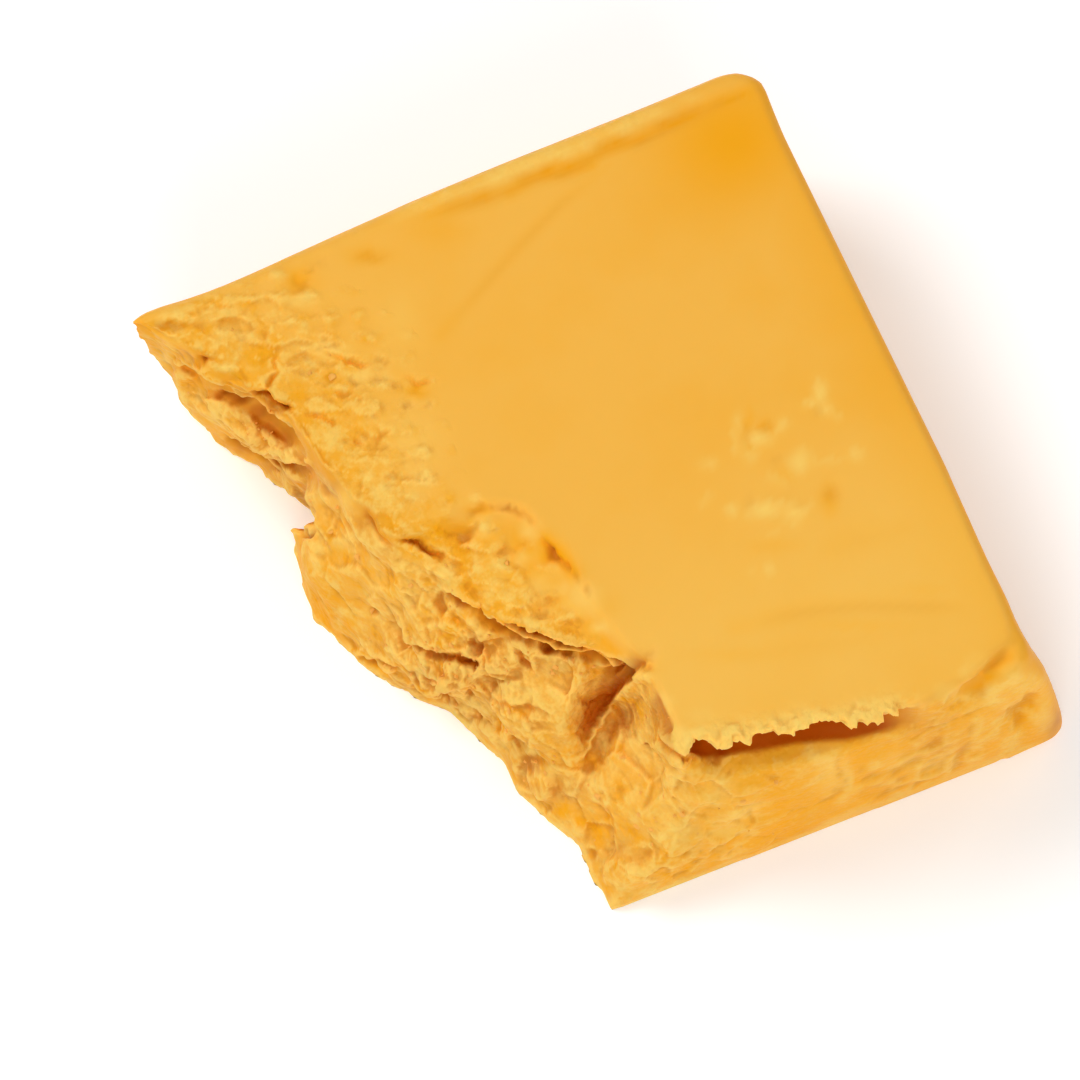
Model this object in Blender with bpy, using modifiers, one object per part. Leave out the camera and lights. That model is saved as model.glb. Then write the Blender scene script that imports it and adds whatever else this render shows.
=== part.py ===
"""Builds a broken block of orange cheddar.

Three sides and the top are smooth cut faces. The fourth side is one long broken face, with a ledge, a
lower mass, a crumbly slope, a valley and a low corner. The block's broken upper south edge is a thin lip
over an undercut. The shape is worked out in millimetres and turned to metres when it is finished.
The origin is on the table, at the middle of the block's outline.
"""

import math

import bmesh
import bpy
from mathutils import Vector, noise

MM = 0.001

# Sizes of the block, in millimetres. North is the straight long edge and east the uncut far side.
THICK = 28.0
NORTH_Y = 34.9
EAST_FOOT_FLARE = (0.3, 5.0)   # how far the east foot stands out, at the north and at the south
EAST_FLARE_FROM_Y = -18.0      # where it begins to grow
EAST_FLARE_CURVE = 0.9
SOUTH_FOOT_Y = -36.3     # south foot at its west end
SOUTH_FOOT_X = -8.1
SOUTH_SLANT = -0.0366
TOP_EDGE_RADIUS = 1.9
NORTH_EAST_RADIUS = 3.1
SOUTH_EAST_RADIUS = 2.6
SOUTH_WEST_RADIUS = (0.6, 5.0)   # rounding of the low corner, at the table and at the ledge's height
BELOW_TABLE = 1.0        # extra depth that the flat base is cut from

# Broken face, from north to south: y and x of its foot on the table
FOOT_LINE = [
    (36.0, -28.4), (30.4, -26.9), (25.7, -24.2), (19.6, -20.9), (15.4, -20.4), (13.6, -22.6),
    (8.3, -24.4), (4.1, -23.8), (0.0, -22.0), (-5.4, -18.6), (-9.2, -15.7), (-13.7, -13.4),
    (-17.2, -11.9), (-20.0, -12.1), (-23.6, -10.8), (-27.9, -8.3), (-32.8, -8.5), (-37.0, -8.0),
]

# Top edge of the broken face, from north to south: y, x and height
RIM_LINE = [
    (36.0, -31.4, 27.6), (34.5, -30.9, 27.6), (29.6, -26.6, 26.6), (25.9, -25.0, 26.0),
    (21.9, -21.7, 26.0), (18.0, -20.0, 26.0), (13.4, -19.6, 25.6), (8.7, -18.0, 25.2),
    (3.6, -16.6, 24.8), (0.8, -14.6, 24.6), (-1.5, -12.2, 24.8), (-6.7, -10.7, 24.2),
    (-8.9, -9.5, 24.0), (-10.8, -7.5, 24.0), (-13.8, -3.8, 24.0), (-16.6, -0.6, 24.4),
    (-18.8, 1.2, 25.4), (-21.3, 2.4, 28.0), (-25.6, 2.6, 28.0), (-29.4, 2.4, 28.0), (-37.0, 3.0, 28.0),
]

# Where the smooth top ends and the rough, lower top begins, from north to south: y and x
SMOOTH_LINE = [
    (36.0, -14.0), (28.0, -8.0), (19.7, -3.7), (13.7, -5.2), (4.8, -6.2), (1.0, -5.1), (-1.3, -1.8),
    (-6.2, -1.1), (-12.5, 0.0), (-18.7, 1.4), (-21.3, 2.5), (-37.0, 3.0),
]

# The uncut rims: x and y along the north, y and x along the east
NORTH_RIM = [(-32.0, 34.6), (-15.0, 35.2), (0.0, 35.8), (10.0, 35.9), (26.0, 35.8), (40.0, 35.9)]
EAST_RIM = [
    (36.0, 39.6), (31.0, 39.9), (27.0, 39.6), (-13.0, 39.6), (-19.0, 39.4), (-24.5, 39.1), (-30.0, 39.0),
    (-37.0, 39.9),
]

# The lip along the top of the south face, from west to east: x and y
LIP_LINE = [
    (-10.0, -29.9), (3.0, -30.1), (6.1, -30.6), (10.0, -31.9), (14.1, -32.7), (18.8, -34.4),
    (23.9, -35.2), (29.4, -35.4), (34.8, -35.8), (39.8, -36.3), (46.0, -36.6),
]

# Lean of the south face: how far its ledge under the lip stands back from its foot, by x
SOUTH_LEAN = [(-8.0, 8.0), (3.0, 5.4), (8.0, 3.4), (14.0, 2.5), (22.0, 1.9), (30.0, 1.6), (44.0, 1.4)]
SOUTH_CURVE = 1.35       # the lean grows faster than the height
LEDGE_HEIGHT = 21.2
LIP_THICK = 1.3
LIP_EDGE = 0.7           # height over which the lip's underside turns into its edge
UNDERCUT_DEPTH = 4.2     # how far the undercut goes in behind the lip
UNDERCUT_FLOOR = 0.4     # share of the undercut's height over which its floor runs inwards
UNDERCUT_SPAN = (2.0, 6.0, 20.0, 27.5)   # x where the undercut opens, is full, thins and closes

# The broken shelf, which steps down from the smooth top: y where it fades out, north and south
SHELF_SPAN = (3.0, 0.0, -16.5, -19.5)
SHELF_STEP = 0.5         # share of the drop that is a step, the rest being a slope
SHELF_STEP_WIDTH = 0.16
SLOPE_CURVE = 1.8        # the rough top falls away faster towards the broken rim

# Swells and hollows of the broken face: y, height, half width, half height, and how far it stands out
FACE_FORMS = {
    "corner scoop": (34.0, 12.0, 4.0, 9.0, -0.5),
    "outer ledge": (24.5, 14.5, 6.0, 4.0, 1.5),
    "brown recess": (22.0, 21.8, 5.5, 3.0, -2.3),
    "ledge end": (17.5, 9.0, 2.5, 5.0, 1.2),
    "steep band": (12.0, 21.0, 4.5, 4.5, -1.2),
    "notch": (15.9, 6.0, 0.9, 10.0, -1.9),
    "notch spike": (13.6, 7.0, 0.9, 5.5, 0.7),
    "lower mass": (7.5, 11.0, 5.0, 5.0, 1.6),
    "lower mass top": (7.0, 18.5, 6.0, 3.4, -1.8),
    "ramp": (-1.0, 17.0, 3.5, 4.0, 0.9),
    "crumbly slope": (-7.5, 10.0, 5.0, 5.0, 1.4),
    "under the ledge": (-13.0, 20.0, 4.5, 2.4, -1.2),
    "left mass": (-16.5, 12.6, 4.6, 4.4, 4.2),
    "right slope": (-25.5, 15.5, 4.6, 5.5, -3.6),
    "low corner": (-33.5, 12.0, 5.0, 6.5, -2.6),
}

# How rough the broken face is: its usual share, and y, height, half width, half height and change of share
# where it is smoother or more crumbly
USUAL_ROUGHNESS = 0.5
FOOT_ROUGHNESS = 0.45    # share of the roughness left at the table
FOOT_HEIGHT = 4.0
ROUGH_ZONES = {
    "recess": (21.0, 20.0, 6.0, 5.0, 0.3),
    "smooth flank": (6.0, 6.0, 6.5, 7.5, -0.35),
    "crumbly slope": (-9.0, 11.0, 5.0, 9.0, 0.55),
    "left mass": (-18.0, 14.0, 3.5, 6.0, -0.1),
    "low corner": (-31.0, 8.0, 6.0, 9.0, -0.15),
}

ROUGH_FADE = (3.2, 1.0)  # depth behind the broken face where its relief fades out and where it is full
ROUGH_TOP = (0.1, 0.4)   # share of the relief on the rough top and on the shelf
TOP_FADE = (0.02, 0.3)   # share of the rough top's width over which its relief grows
TOP_RISE = 0.15          # how far the rough top may stand above the smooth one
TOP_BAND = (1.6, 0.4)    # depth below the top where the face's relief gives way to the top's
ROUGH_SOUTH = (0.16, 0.45)   # share of the relief on the south face and at its broken west end
SOUTH_FADE = (2.2, 0.6)
SOUTH_ROUGH_END = (36.0, 26.0)   # x where the south face's relief fades out
SOUTH_BROKEN_END = (14.0, 2.0)   # x where the broken west end begins, and where it is full
NORTH_FADE = (0.3, 2.0)  # distance from the north face over which all relief grows

# The broken cheese's relief: size and height of its lumps, chips and crumbs
LUMP_SIZE = 7.5
LUMP_HEIGHT = 1.0
CHIP_SIZES = {4.6: 0.85, 2.1: 0.6}
CHIP_TILT = 0.9
CHIP_LEVEL = 0.5
NOISE_SEED = Vector((3.7, 11.3, 5.9))

# The groove under the ledge that overhangs the crumbly slope, and its window in y
GROOVE_BELOW_RIM = 2.3
GROOVE_HALF_HEIGHT = 0.9
GROOVE_DEPTH = 1.5
GROOVE_SPAN = (-5.5, -8.5, -16.5, -18.5)

# The valley between the left mass and the right slope: its ends in plan with the height of its floor
VALLEY_TOP = Vector((2.4, -18.0, 15.0))
VALLEY_END = Vector((-10.4, -26.4, 3.5))
VALLEY_WALLS = (2.2, 1.1)   # rise of its north-west and of its south-east wall
VALLEY_REACH = 6.0
VALLEY_SPAN = (-0.06, 1.3)   # shares of its length between which it is cut
VALLEY_HALF_FLOOR = 0.5
VALLEY_RIM_GAP = (0.2, 1.6)  # distance from the rim over which the cut deepens

# Cracks in the rough ground: start and end (x, y, height), half width and depth
CRACKS = [
    ((-15.2, 4.6, 24.6), (-12.0, 1.0, 24.8), 0.7, 1.0),
    ((-12.0, 1.0, 24.8), (-10.4, -4.6, 24.4), 0.6, 0.8),
    ((-10.4, -4.6, 24.4), (-8.6, -8.4, 24.0), 0.7, 1.2),
    ((-12.0, -8.6, 17.5), (-16.4, -6.6, 13.5), 0.8, 1.3),
    ((-10.6, -10.0, 19.0), (-12.0, -13.0, 12.0), 0.7, 1.1),
    ((-12.2, -9.4, 17.0), (-14.2, -12.4, 7.0), 0.7, 0.9),
    ((-4.9, 1.1, 27.0), (-1.8, -1.2, 27.2), 0.7, 0.8),
    ((-1.3, -4.4, 27.0), (-0.7, -8.6, 26.8), 0.7, 0.9),
    ((-9.4, -20.4, 14.0), (-11.6, -21.6, 8.0), 0.8, 1.0),
    ((-7.6, -31.2, 5.0), (-6.0, -32.0, 7.5), 0.8, 0.8),
]

# Grid of the rough shape, sizes of its remeshed skin and the triangle budget of the finished solid
CUTS = (72, 110, 46)
FINER_WEST = 1.25        # the grid is finer towards the broken face
SETTLING_STEPS = 5       # each face's place depends on the others, so a grid point settles in steps
SKIN_CELL = 0.56
TRIANGLES = 9800
SMALLEST_EDGE = 0.02

CHEDDAR_COLOUR = (0.93, 0.445, 0.065, 1.0)
CHEDDAR_ROUGHNESS = 0.5


def mix(a, b, t):
    """Value between a and b."""
    return a + (b - a) * t


def clamp(value, low=0.0, high=1.0):
    """Value kept between low and high."""
    return max(low, min(high, value))


def ease(edge_a, edge_b, value):
    """Smooth step from 0 at edge_a to 1 at edge_b, which may also run downwards."""
    t = clamp((value - edge_a) / (edge_b - edge_a))
    return t * t * (3.0 - 2.0 * t)


def window(span, value):
    """Smooth window: 0 outside the first and last of four edges, 1 between the two middle ones."""
    return ease(span[0], span[1], value) * ease(span[3], span[2], value)


def bell(offset_a, half_a, offset_b, half_b):
    """Bell-shaped share, 1 at no offset, with a half width each way."""
    return math.exp(-(offset_a / half_a) ** 2 - (offset_b / half_b) ** 2)


def read_line(line, place, column=1):
    """Value of a column of a line of points at a place along its first column."""
    falling = line[0][0] > line[-1][0]
    points = line[::-1] if falling else line
    if place <= points[0][0]:
        return points[0][column]
    for near, far in zip(points, points[1:]):
        if place <= far[0]:
            return mix(near[column], far[column], (place - near[0]) / (far[0] - near[0]))
    return points[-1][column]


def west_x(y, z):
    """East-west place of the broken face."""
    rim_height = read_line(RIM_LINE, y, 2)
    rise = clamp(z / rim_height)
    x = mix(read_line(FOOT_LINE, y), read_line(RIM_LINE, y), rise)
    for form_y, form_z, half_width, half_height, out in FACE_FORMS.values():
        x -= out * bell(y - form_y, half_width, z - form_z, half_height)
    below = (z - rim_height + GROOVE_BELOW_RIM) / GROOVE_HALF_HEIGHT
    return x + GROOVE_DEPTH * window(GROOVE_SPAN, y) * math.exp(-below * below)


def east_x(y, z):
    """East-west place of the uncut east face, which stands out at its foot."""
    flare = mix(*EAST_FOOT_FLARE, ease(EAST_FLARE_FROM_Y, SOUTH_FOOT_Y, y))
    return read_line(EAST_RIM, y) + flare * clamp(1.0 - z / THICK) ** EAST_FLARE_CURVE


def south_y(x, z):
    """North-south place of the south face, from its foot over the ledge and the undercut to the lip."""
    foot = SOUTH_FOOT_Y + SOUTH_SLANT * (x - SOUTH_FOOT_X)
    ledge = foot + read_line(SOUTH_LEAN, x)
    lip = read_line(LIP_LINE, x)
    plain = mix(ledge, lip, clamp((z - LEDGE_HEIGHT) / (THICK - LEDGE_HEIGHT)))
    if z <= LEDGE_HEIGHT:
        return mix(foot, ledge, clamp(z / LEDGE_HEIGHT) ** SOUTH_CURVE)
    lip_foot = THICK - LIP_THICK
    inner = lip + UNDERCUT_DEPTH
    if z <= lip_foot:
        rise = (z - LEDGE_HEIGHT) / (lip_foot - LEDGE_HEIGHT)
        hollow = mix(ledge, inner, ease(0.0, UNDERCUT_FLOOR, rise))
    else:
        hollow = mix(inner, lip, ease(lip_foot, lip_foot + LIP_EDGE, z))
    return mix(plain, hollow, window(UNDERCUT_SPAN, x))


def north_y(x):
    """North-south place of the nearly straight north face."""
    return read_line(NORTH_RIM, x)


def rough_share(x, y):
    """How far a place on the top lies from the smooth part (0) towards the broken rim (1)."""
    smooth = read_line(SMOOTH_LINE, y)
    rim = read_line(RIM_LINE, y)
    return clamp((smooth - x) / max(smooth - rim, 0.5))


def top_z(x, y):
    """Height of the top, which steps down to the broken shelf and slopes gently to the north-west."""
    share = rough_share(x, y)
    drop = THICK - read_line(RIM_LINE, y, 2)
    stepped = mix(share, ease(0.0, SHELF_STEP_WIDTH, share), SHELF_STEP)
    return THICK - drop * mix(share ** SLOPE_CURVE, stepped, window(SHELF_SPAN, y))


def place_point(u, v, w):
    """Place of a grid point of the rough block, from its shares east, north and up."""
    y = mix(SOUTH_FOOT_Y, NORTH_Y, v)
    x = 0.0
    z = w * THICK
    for _ in range(SETTLING_STEPS):
        x = mix(west_x(y, z), east_x(y, z), u)
        y = mix(south_y(x, z), north_y(x), v)
        z = mix(-BELOW_TABLE, top_z(x, y), w)
    return round_edges(Vector((x, y, z)))


def round_pair(reach_a, reach_b, radius):
    """New distances from two meeting faces for a point that lies outside the rounded edge."""
    side_a = radius - reach_a
    side_b = radius - reach_b
    if side_a <= 0.0 or side_b <= 0.0 or math.hypot(side_a, side_b) <= radius:
        return reach_a, reach_b
    shrink = radius / math.hypot(side_a, side_b)
    return radius - side_a * shrink, radius - side_b * shrink


def round_edges(point):
    """Point moved onto the rounded upright corners and the rounded top edges."""
    x, y, z = point
    foot_corner = round_pair(east_x(y, z) - x, y - south_y(x, z), SOUTH_EAST_RADIUS)
    if x > 0.0:
        x, y = east_x(y, z) - foot_corner[0], south_y(x, z) + foot_corner[1]
    east = east_x(y, z)
    to_east, to_north = round_pair(east - x, north_y(x) - y, NORTH_EAST_RADIUS)
    x = east - to_east
    y = north_y(x) - to_north
    top = top_z(x, y)
    corner = math.hypot(max(NORTH_EAST_RADIUS - to_east, 0.0), max(NORTH_EAST_RADIUS - to_north, 0.0))
    from_side = min(to_east, to_north)
    if to_east < NORTH_EAST_RADIUS and to_north < NORTH_EAST_RADIUS:
        from_side = NORTH_EAST_RADIUS - corner
    new_side, new_top = round_pair(max(from_side, 0.0), top - z, TOP_EDGE_RADIUS)
    inward = new_side - max(from_side, 0.0)
    if inward > 0.0:
        away = Vector((max(NORTH_EAST_RADIUS - to_east, 0.0), max(NORTH_EAST_RADIUS - to_north, 0.0)))
        if away.length < 0.001:
            away = Vector((1.0, 0.0))
        away.normalize()
        x -= away.x * inward
        y -= away.y * inward
        z = top - new_top
    return round_low_corner(Vector((x, y, z)))


def round_low_corner(point):
    """Point moved onto the rounded south-west edge, which is sharp at the table and wide higher up."""
    radius = mix(*SOUTH_WEST_RADIUS, ease(0.0, LEDGE_HEIGHT, point.z))
    radius *= ease(THICK - LIP_THICK, LEDGE_HEIGHT, point.z)
    west = west_x(point.y, point.z)
    south = south_y(point.x, point.z)
    to_west, to_south = round_pair(point.x - west, point.y - south, radius)
    return Vector((west + to_west, south + to_south, point.z))


def make_rough_block():
    """Cube primitive cut into a grid and laid onto the block's faces."""
    bpy.ops.mesh.primitive_cube_add(size=1.0, location=(0.0, 0.0, 0.0))
    block = bpy.context.object
    block.name = "cheddar_block"
    block.data.name = "cheddar_block"
    shape = bmesh.new()
    shape.from_mesh(block.data)
    for axis, cuts in enumerate(CUTS):
        along = [
            edge for edge in shape.edges
            if abs((edge.verts[0].co - edge.verts[1].co)[axis]) > 0.5
        ]
        bmesh.ops.subdivide_edges(shape, edges=along, cuts=cuts, use_grid_fill=True)
    for vert in shape.verts:
        u, v, w = (share + 0.5 for share in vert.co)
        vert.co = place_point(u ** FINER_WEST, v, w)
    shape.to_mesh(block.data)
    shape.free()
    return block


def apply_remesh(block):
    """Even skin of small cells over the rough block."""
    skin = block.modifiers.new("even skin", "REMESH")
    skin.mode = "VOXEL"
    skin.voxel_size = SKIN_CELL
    bpy.ops.object.modifier_apply(modifier=skin.name)


def face_roughness(y, z):
    """How crumbly the broken face is at a place."""
    rough = USUAL_ROUGHNESS
    for zone_y, zone_z, half_width, half_height, change in ROUGH_ZONES.values():
        rough += change * bell(y - zone_y, half_width, z - zone_z, half_height)
    return rough * mix(FOOT_ROUGHNESS, 1.0, ease(0.0, FOOT_HEIGHT, z))


def break_share(point):
    """How rough the broken cheese is at a point, from 0 on the cut faces to 1 on the broken face."""
    x, y, z = point
    behind = x - west_x(y, z)
    face = ease(*ROUGH_FADE, behind)
    top = top_z(x, y)
    share = rough_share(x, y)
    ground = ease(*TOP_FADE, share) * mix(*ROUGH_TOP, window(SHELF_SPAN, y))
    on_top = ease(*TOP_BAND, top - z)
    south = ease(*SOUTH_FADE, y - south_y(x, z)) * ease(*SOUTH_ROUGH_END, x)
    strip = south * mix(*ROUGH_SOUTH, ease(*SOUTH_BROKEN_END, x)) * ease(0.0, FOOT_HEIGHT, z)
    rough = max(mix(face * face_roughness(y, z), ground, on_top), strip)
    return rough * ease(*NORTH_FADE, north_y(x) - y)


def chip_height(point, size):
    """Height of angular chips, each a flat piece with its own tilt and level."""
    place = point / size + NOISE_SEED * size
    centre = noise.voronoi(place)[1][0]
    own_place = centre * size + NOISE_SEED
    tilt = noise.noise_vector(own_place)
    level = noise.noise(own_place.yzx)
    return size * (CHIP_TILT * (place - centre).dot(tilt) + CHIP_LEVEL * level)


def crumble(point):
    """Height of the broken cheese's relief: lumps, angular chips and small crumbs."""
    height = LUMP_HEIGHT * noise.fractal(point / LUMP_SIZE + NOISE_SEED, 1.0, 2.0, 2)
    for size, share in CHIP_SIZES.items():
        height += share * chip_height(point, size)
    return height


def crack_depth(point):
    """Depth of the cracks at a point."""
    depth = 0.0
    for start, end, half_width, deep in CRACKS:
        start = Vector(start)
        run = Vector(end) - start
        share = clamp((point - start).dot(run) / run.length_squared)
        gap = (point - start - run * share).length
        depth = max(depth, deep * math.exp(-(gap / half_width) ** 2))
    return depth


def carve_valley(point):
    """Point lowered onto the valley's floor or walls, where it stands higher."""
    run = VALLEY_END - VALLEY_TOP
    flat_run = Vector((run.x, run.y))
    from_top = Vector((point.x - VALLEY_TOP.x, point.y - VALLEY_TOP.y))
    share = from_top.dot(flat_run) / flat_run.length_squared
    aside = (flat_run.x * from_top.y - flat_run.y * from_top.x) / flat_run.length
    if not VALLEY_SPAN[0] < share < VALLEY_SPAN[1] or abs(aside) > VALLEY_REACH:
        return point
    wall = VALLEY_WALLS[0] if aside < 0.0 else VALLEY_WALLS[1]
    lowest = VALLEY_TOP.z + run.z * max(share, 0.0) + wall * max(abs(aside) - VALLEY_HALF_FLOOR, 0.0)
    if point.z > lowest:
        point.z = mix(point.z, lowest, ease(*VALLEY_RIM_GAP, read_line(RIM_LINE, point.y) - point.x))
    return point


def break_surface(block):
    """Broken cheese's relief, cracks and valley worked into the even skin."""
    shape = bmesh.new()
    shape.from_mesh(block.data)
    shape.normal_update()
    moves = []
    for vert in shape.verts:
        point = vert.co.copy()
        rough = break_share(point)
        move = vert.normal * (rough * crumble(point) - crack_depth(point))
        moves.append(move)
    for vert, move in zip(shape.verts, moves):
        vert.co = carve_valley(vert.co + move)
        vert.co.z = min(vert.co.z, THICK + TOP_RISE)
    shape.to_mesh(block.data)
    shape.free()


def thin_out(block):
    """Fewer triangles, most of them left on the broken face."""
    block.data.calc_loop_triangles()
    thinning = block.modifiers.new("fewer triangles", "DECIMATE")
    thinning.ratio = TRIANGLES / len(block.data.loop_triangles)
    bpy.ops.object.modifier_apply(modifier=thinning.name)


def cut_base(block):
    """Flat base on the table."""
    shape = bmesh.new()
    shape.from_mesh(block.data)
    everything = shape.verts[:] + shape.edges[:] + shape.faces[:]
    table = Vector((0.0, 0.0, 0.0))
    up = Vector((0.0, 0.0, 1.0))
    cut = bmesh.ops.bisect_plane(shape, geom=everything, plane_co=table, plane_no=up, clear_inner=True)
    rim = [item for item in cut["geom_cut"] if isinstance(item, bmesh.types.BMEdge)]
    bmesh.ops.holes_fill(shape, edges=rim, sides=0)
    bmesh.ops.dissolve_degenerate(shape, dist=SMALLEST_EDGE, edges=shape.edges[:])
    bmesh.ops.triangulate(shape, faces=shape.faces[:])
    bmesh.ops.recalc_face_normals(shape, faces=shape.faces[:])
    shape.to_mesh(block.data)
    shape.free()


def centre_in_metres(block):
    """Origin brought to the middle of the outline on the table, and sizes turned to metres."""
    places = [vert.co for vert in block.data.vertices]
    middle = Vector((0.0, 0.0, 0.0))
    for axis in (0, 1):
        reach = [place[axis] for place in places]
        middle[axis] = (min(reach) + max(reach)) / 2.0
    for vert in block.data.vertices:
        vert.co = (vert.co - middle) * MM
    return middle


def make_cheddar():
    """Material of the cheese."""
    cheddar = bpy.data.materials.new("cheddar")
    cheddar.use_nodes = True
    shader = cheddar.node_tree.nodes["Principled BSDF"]
    shader.inputs["Base Color"].default_value = CHEDDAR_COLOUR
    shader.inputs["Roughness"].default_value = CHEDDAR_ROUGHNESS
    shader.inputs["Metallic"].default_value = 0.0
    return cheddar


def build_block():
    """The whole block of cheddar, in its own collection."""
    block = make_rough_block()
    apply_remesh(block)
    break_surface(block)
    thin_out(block)
    cut_base(block)
    centre_in_metres(block)
    block.data.materials.append(make_cheddar())
    parts = bpy.data.collections.new("cheddar block")
    bpy.context.scene.collection.children.link(parts)
    for holder in list(block.users_collection):
        holder.objects.unlink(block)
    parts.objects.link(block)
    return block


def clear_scene():
    """Empty scene to build in."""
    for item in list(bpy.data.objects):
        bpy.data.objects.remove(item, do_unlink=True)


def main():
    clear_scene()
    build_block()


main()
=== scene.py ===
"""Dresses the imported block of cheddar: fine breakage, colour, clinging crumbs, floor, light and camera.

Places are worked out in millimetres on the block's own plan: x to the uncut end, y to the straight long
side and z up from the table.
"""

import math
import random

import bmesh
import bpy
import numpy as np
from mathutils import Matrix, Vector, noise
from mathutils.bvhtree import BVHTree


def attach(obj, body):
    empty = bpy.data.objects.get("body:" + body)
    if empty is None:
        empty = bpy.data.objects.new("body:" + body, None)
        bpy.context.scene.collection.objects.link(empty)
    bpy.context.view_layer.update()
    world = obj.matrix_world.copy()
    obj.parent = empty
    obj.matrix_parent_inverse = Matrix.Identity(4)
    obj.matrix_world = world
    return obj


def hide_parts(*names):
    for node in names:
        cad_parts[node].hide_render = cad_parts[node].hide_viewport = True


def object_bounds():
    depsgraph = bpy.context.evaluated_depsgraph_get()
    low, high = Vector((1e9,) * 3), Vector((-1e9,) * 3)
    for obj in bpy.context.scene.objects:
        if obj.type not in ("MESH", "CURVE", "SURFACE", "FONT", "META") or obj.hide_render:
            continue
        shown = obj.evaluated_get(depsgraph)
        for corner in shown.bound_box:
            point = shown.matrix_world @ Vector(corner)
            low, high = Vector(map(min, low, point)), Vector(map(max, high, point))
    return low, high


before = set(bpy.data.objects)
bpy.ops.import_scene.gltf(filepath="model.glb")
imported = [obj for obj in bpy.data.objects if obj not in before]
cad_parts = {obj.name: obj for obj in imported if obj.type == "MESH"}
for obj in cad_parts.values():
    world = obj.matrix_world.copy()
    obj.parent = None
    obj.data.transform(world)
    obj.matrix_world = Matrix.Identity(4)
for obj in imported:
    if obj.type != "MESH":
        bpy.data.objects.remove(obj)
CAD_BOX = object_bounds()

bl_info = {
    "name": "Cheddar block",
    "version": (1, 0, 0),
    "blender": (4, 5, 0),
    "location": "3D View > Sidebar > Cheddar",
    "description": "Dresses a broken block of orange cheddar and sets its stage",
    "category": "Object",
}

MM = 0.001
NODE = "cheddar_block"
BODY = "root"

# The plan's origin lies this far west and south of the block's outermost points, in millimetres
EAST_MOST = 44.75
NORTH_MOST = 35.84
THICK = 28.0

# Top edge of the broken face, from south to north: y and x
RIM_LINE = [
    (-37.0, 3.0), (-29.4, 2.4), (-25.6, 2.6), (-21.3, 2.4), (-18.8, 1.2), (-16.6, -0.6), (-13.8, -3.8),
    (-10.8, -7.5), (-8.9, -9.5), (-6.7, -10.7), (-1.5, -12.2), (0.8, -14.6), (3.6, -16.6), (8.7, -18.0),
    (13.4, -19.6), (18.0, -20.0), (21.9, -21.7), (25.9, -25.0), (29.6, -26.6), (34.5, -30.9), (36.0, -31.4),
]

# Where the smooth top ends and the rough top begins, from south to north: y and x
SMOOTH_LINE = [
    (-37.0, 3.0), (-21.3, 2.5), (-18.7, 1.4), (-12.5, 0.0), (-6.2, -1.1), (-1.3, -1.8), (1.0, -5.1),
    (4.8, -6.2), (13.7, -5.2), (19.7, -3.7), (28.0, -8.0), (36.0, -14.0),
]

# Upper edge of the south face, from west to east: x and y
LIP_LINE = [
    (-10.0, -29.9), (3.0, -30.1), (6.1, -30.6), (10.0, -31.9), (14.1, -32.7), (18.8, -34.4),
    (23.9, -35.2), (29.4, -35.4), (34.8, -35.8), (39.8, -36.3), (46.0, -36.6),
]

# Foot of the south face: a point of it and its slant
SOUTH_FOOT_X = -8.1
SOUTH_FOOT_Y = -36.3
SOUTH_SLANT = -0.0366

# Furrows in the top: points in plan, half width and depth
FURROWS = {
    "north groove west": ([(2.0, 33.1), (5.8, 32.6), (8.0, 32.4), (10.6, 32.2), (12.0, 32.2)], 0.75, 0.22),
    "north groove middle": ([(10.6, 32.1), (13.7, 32.6), (16.3, 31.9), (19.5, 31.4)], 0.7, 0.34),
    "north groove east": ([(19.0, 31.9), (21.3, 32.4), (25.4, 32.0), (30.1, 32.3), (36.0, 32.2)], 0.8, 0.34),
    "crease": ([(21.3, 30.5), (14.7, 28.5), (9.1, 26.0), (3.4, 23.1), (-2.4, 20.2)], 0.6, 0.1),
    "long wrinkle": ([(12.4, -20.6), (19.1, -21.7), (24.9, -23.5), (31.4, -26.4), (36.5, -28.6)], 0.9, 0.14),
    "near wrinkle": ([(10.0, -22.3), (16.6, -24.7), (22.5, -26.4), (28.1, -27.5)], 1.0, 0.08),
    "far wrinkle": ([(24.7, -16.7), (30.0, -17.5), (35.3, -18.1)], 1.1, 0.08),
    "scratch": ([(22.4, -1.0), (21.6, -4.0)], 0.25, 0.22),
    "hollow by the shelf": ([(-1.4, -4.4), (-0.5, -6.2), (0.0, -8.8)], 0.7, 0.7),
}

# Places on the picture plane are in 1080ths of the picture's side, across and down, as the camera sees them
PICTURE_SIDE = 1080.0

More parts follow.
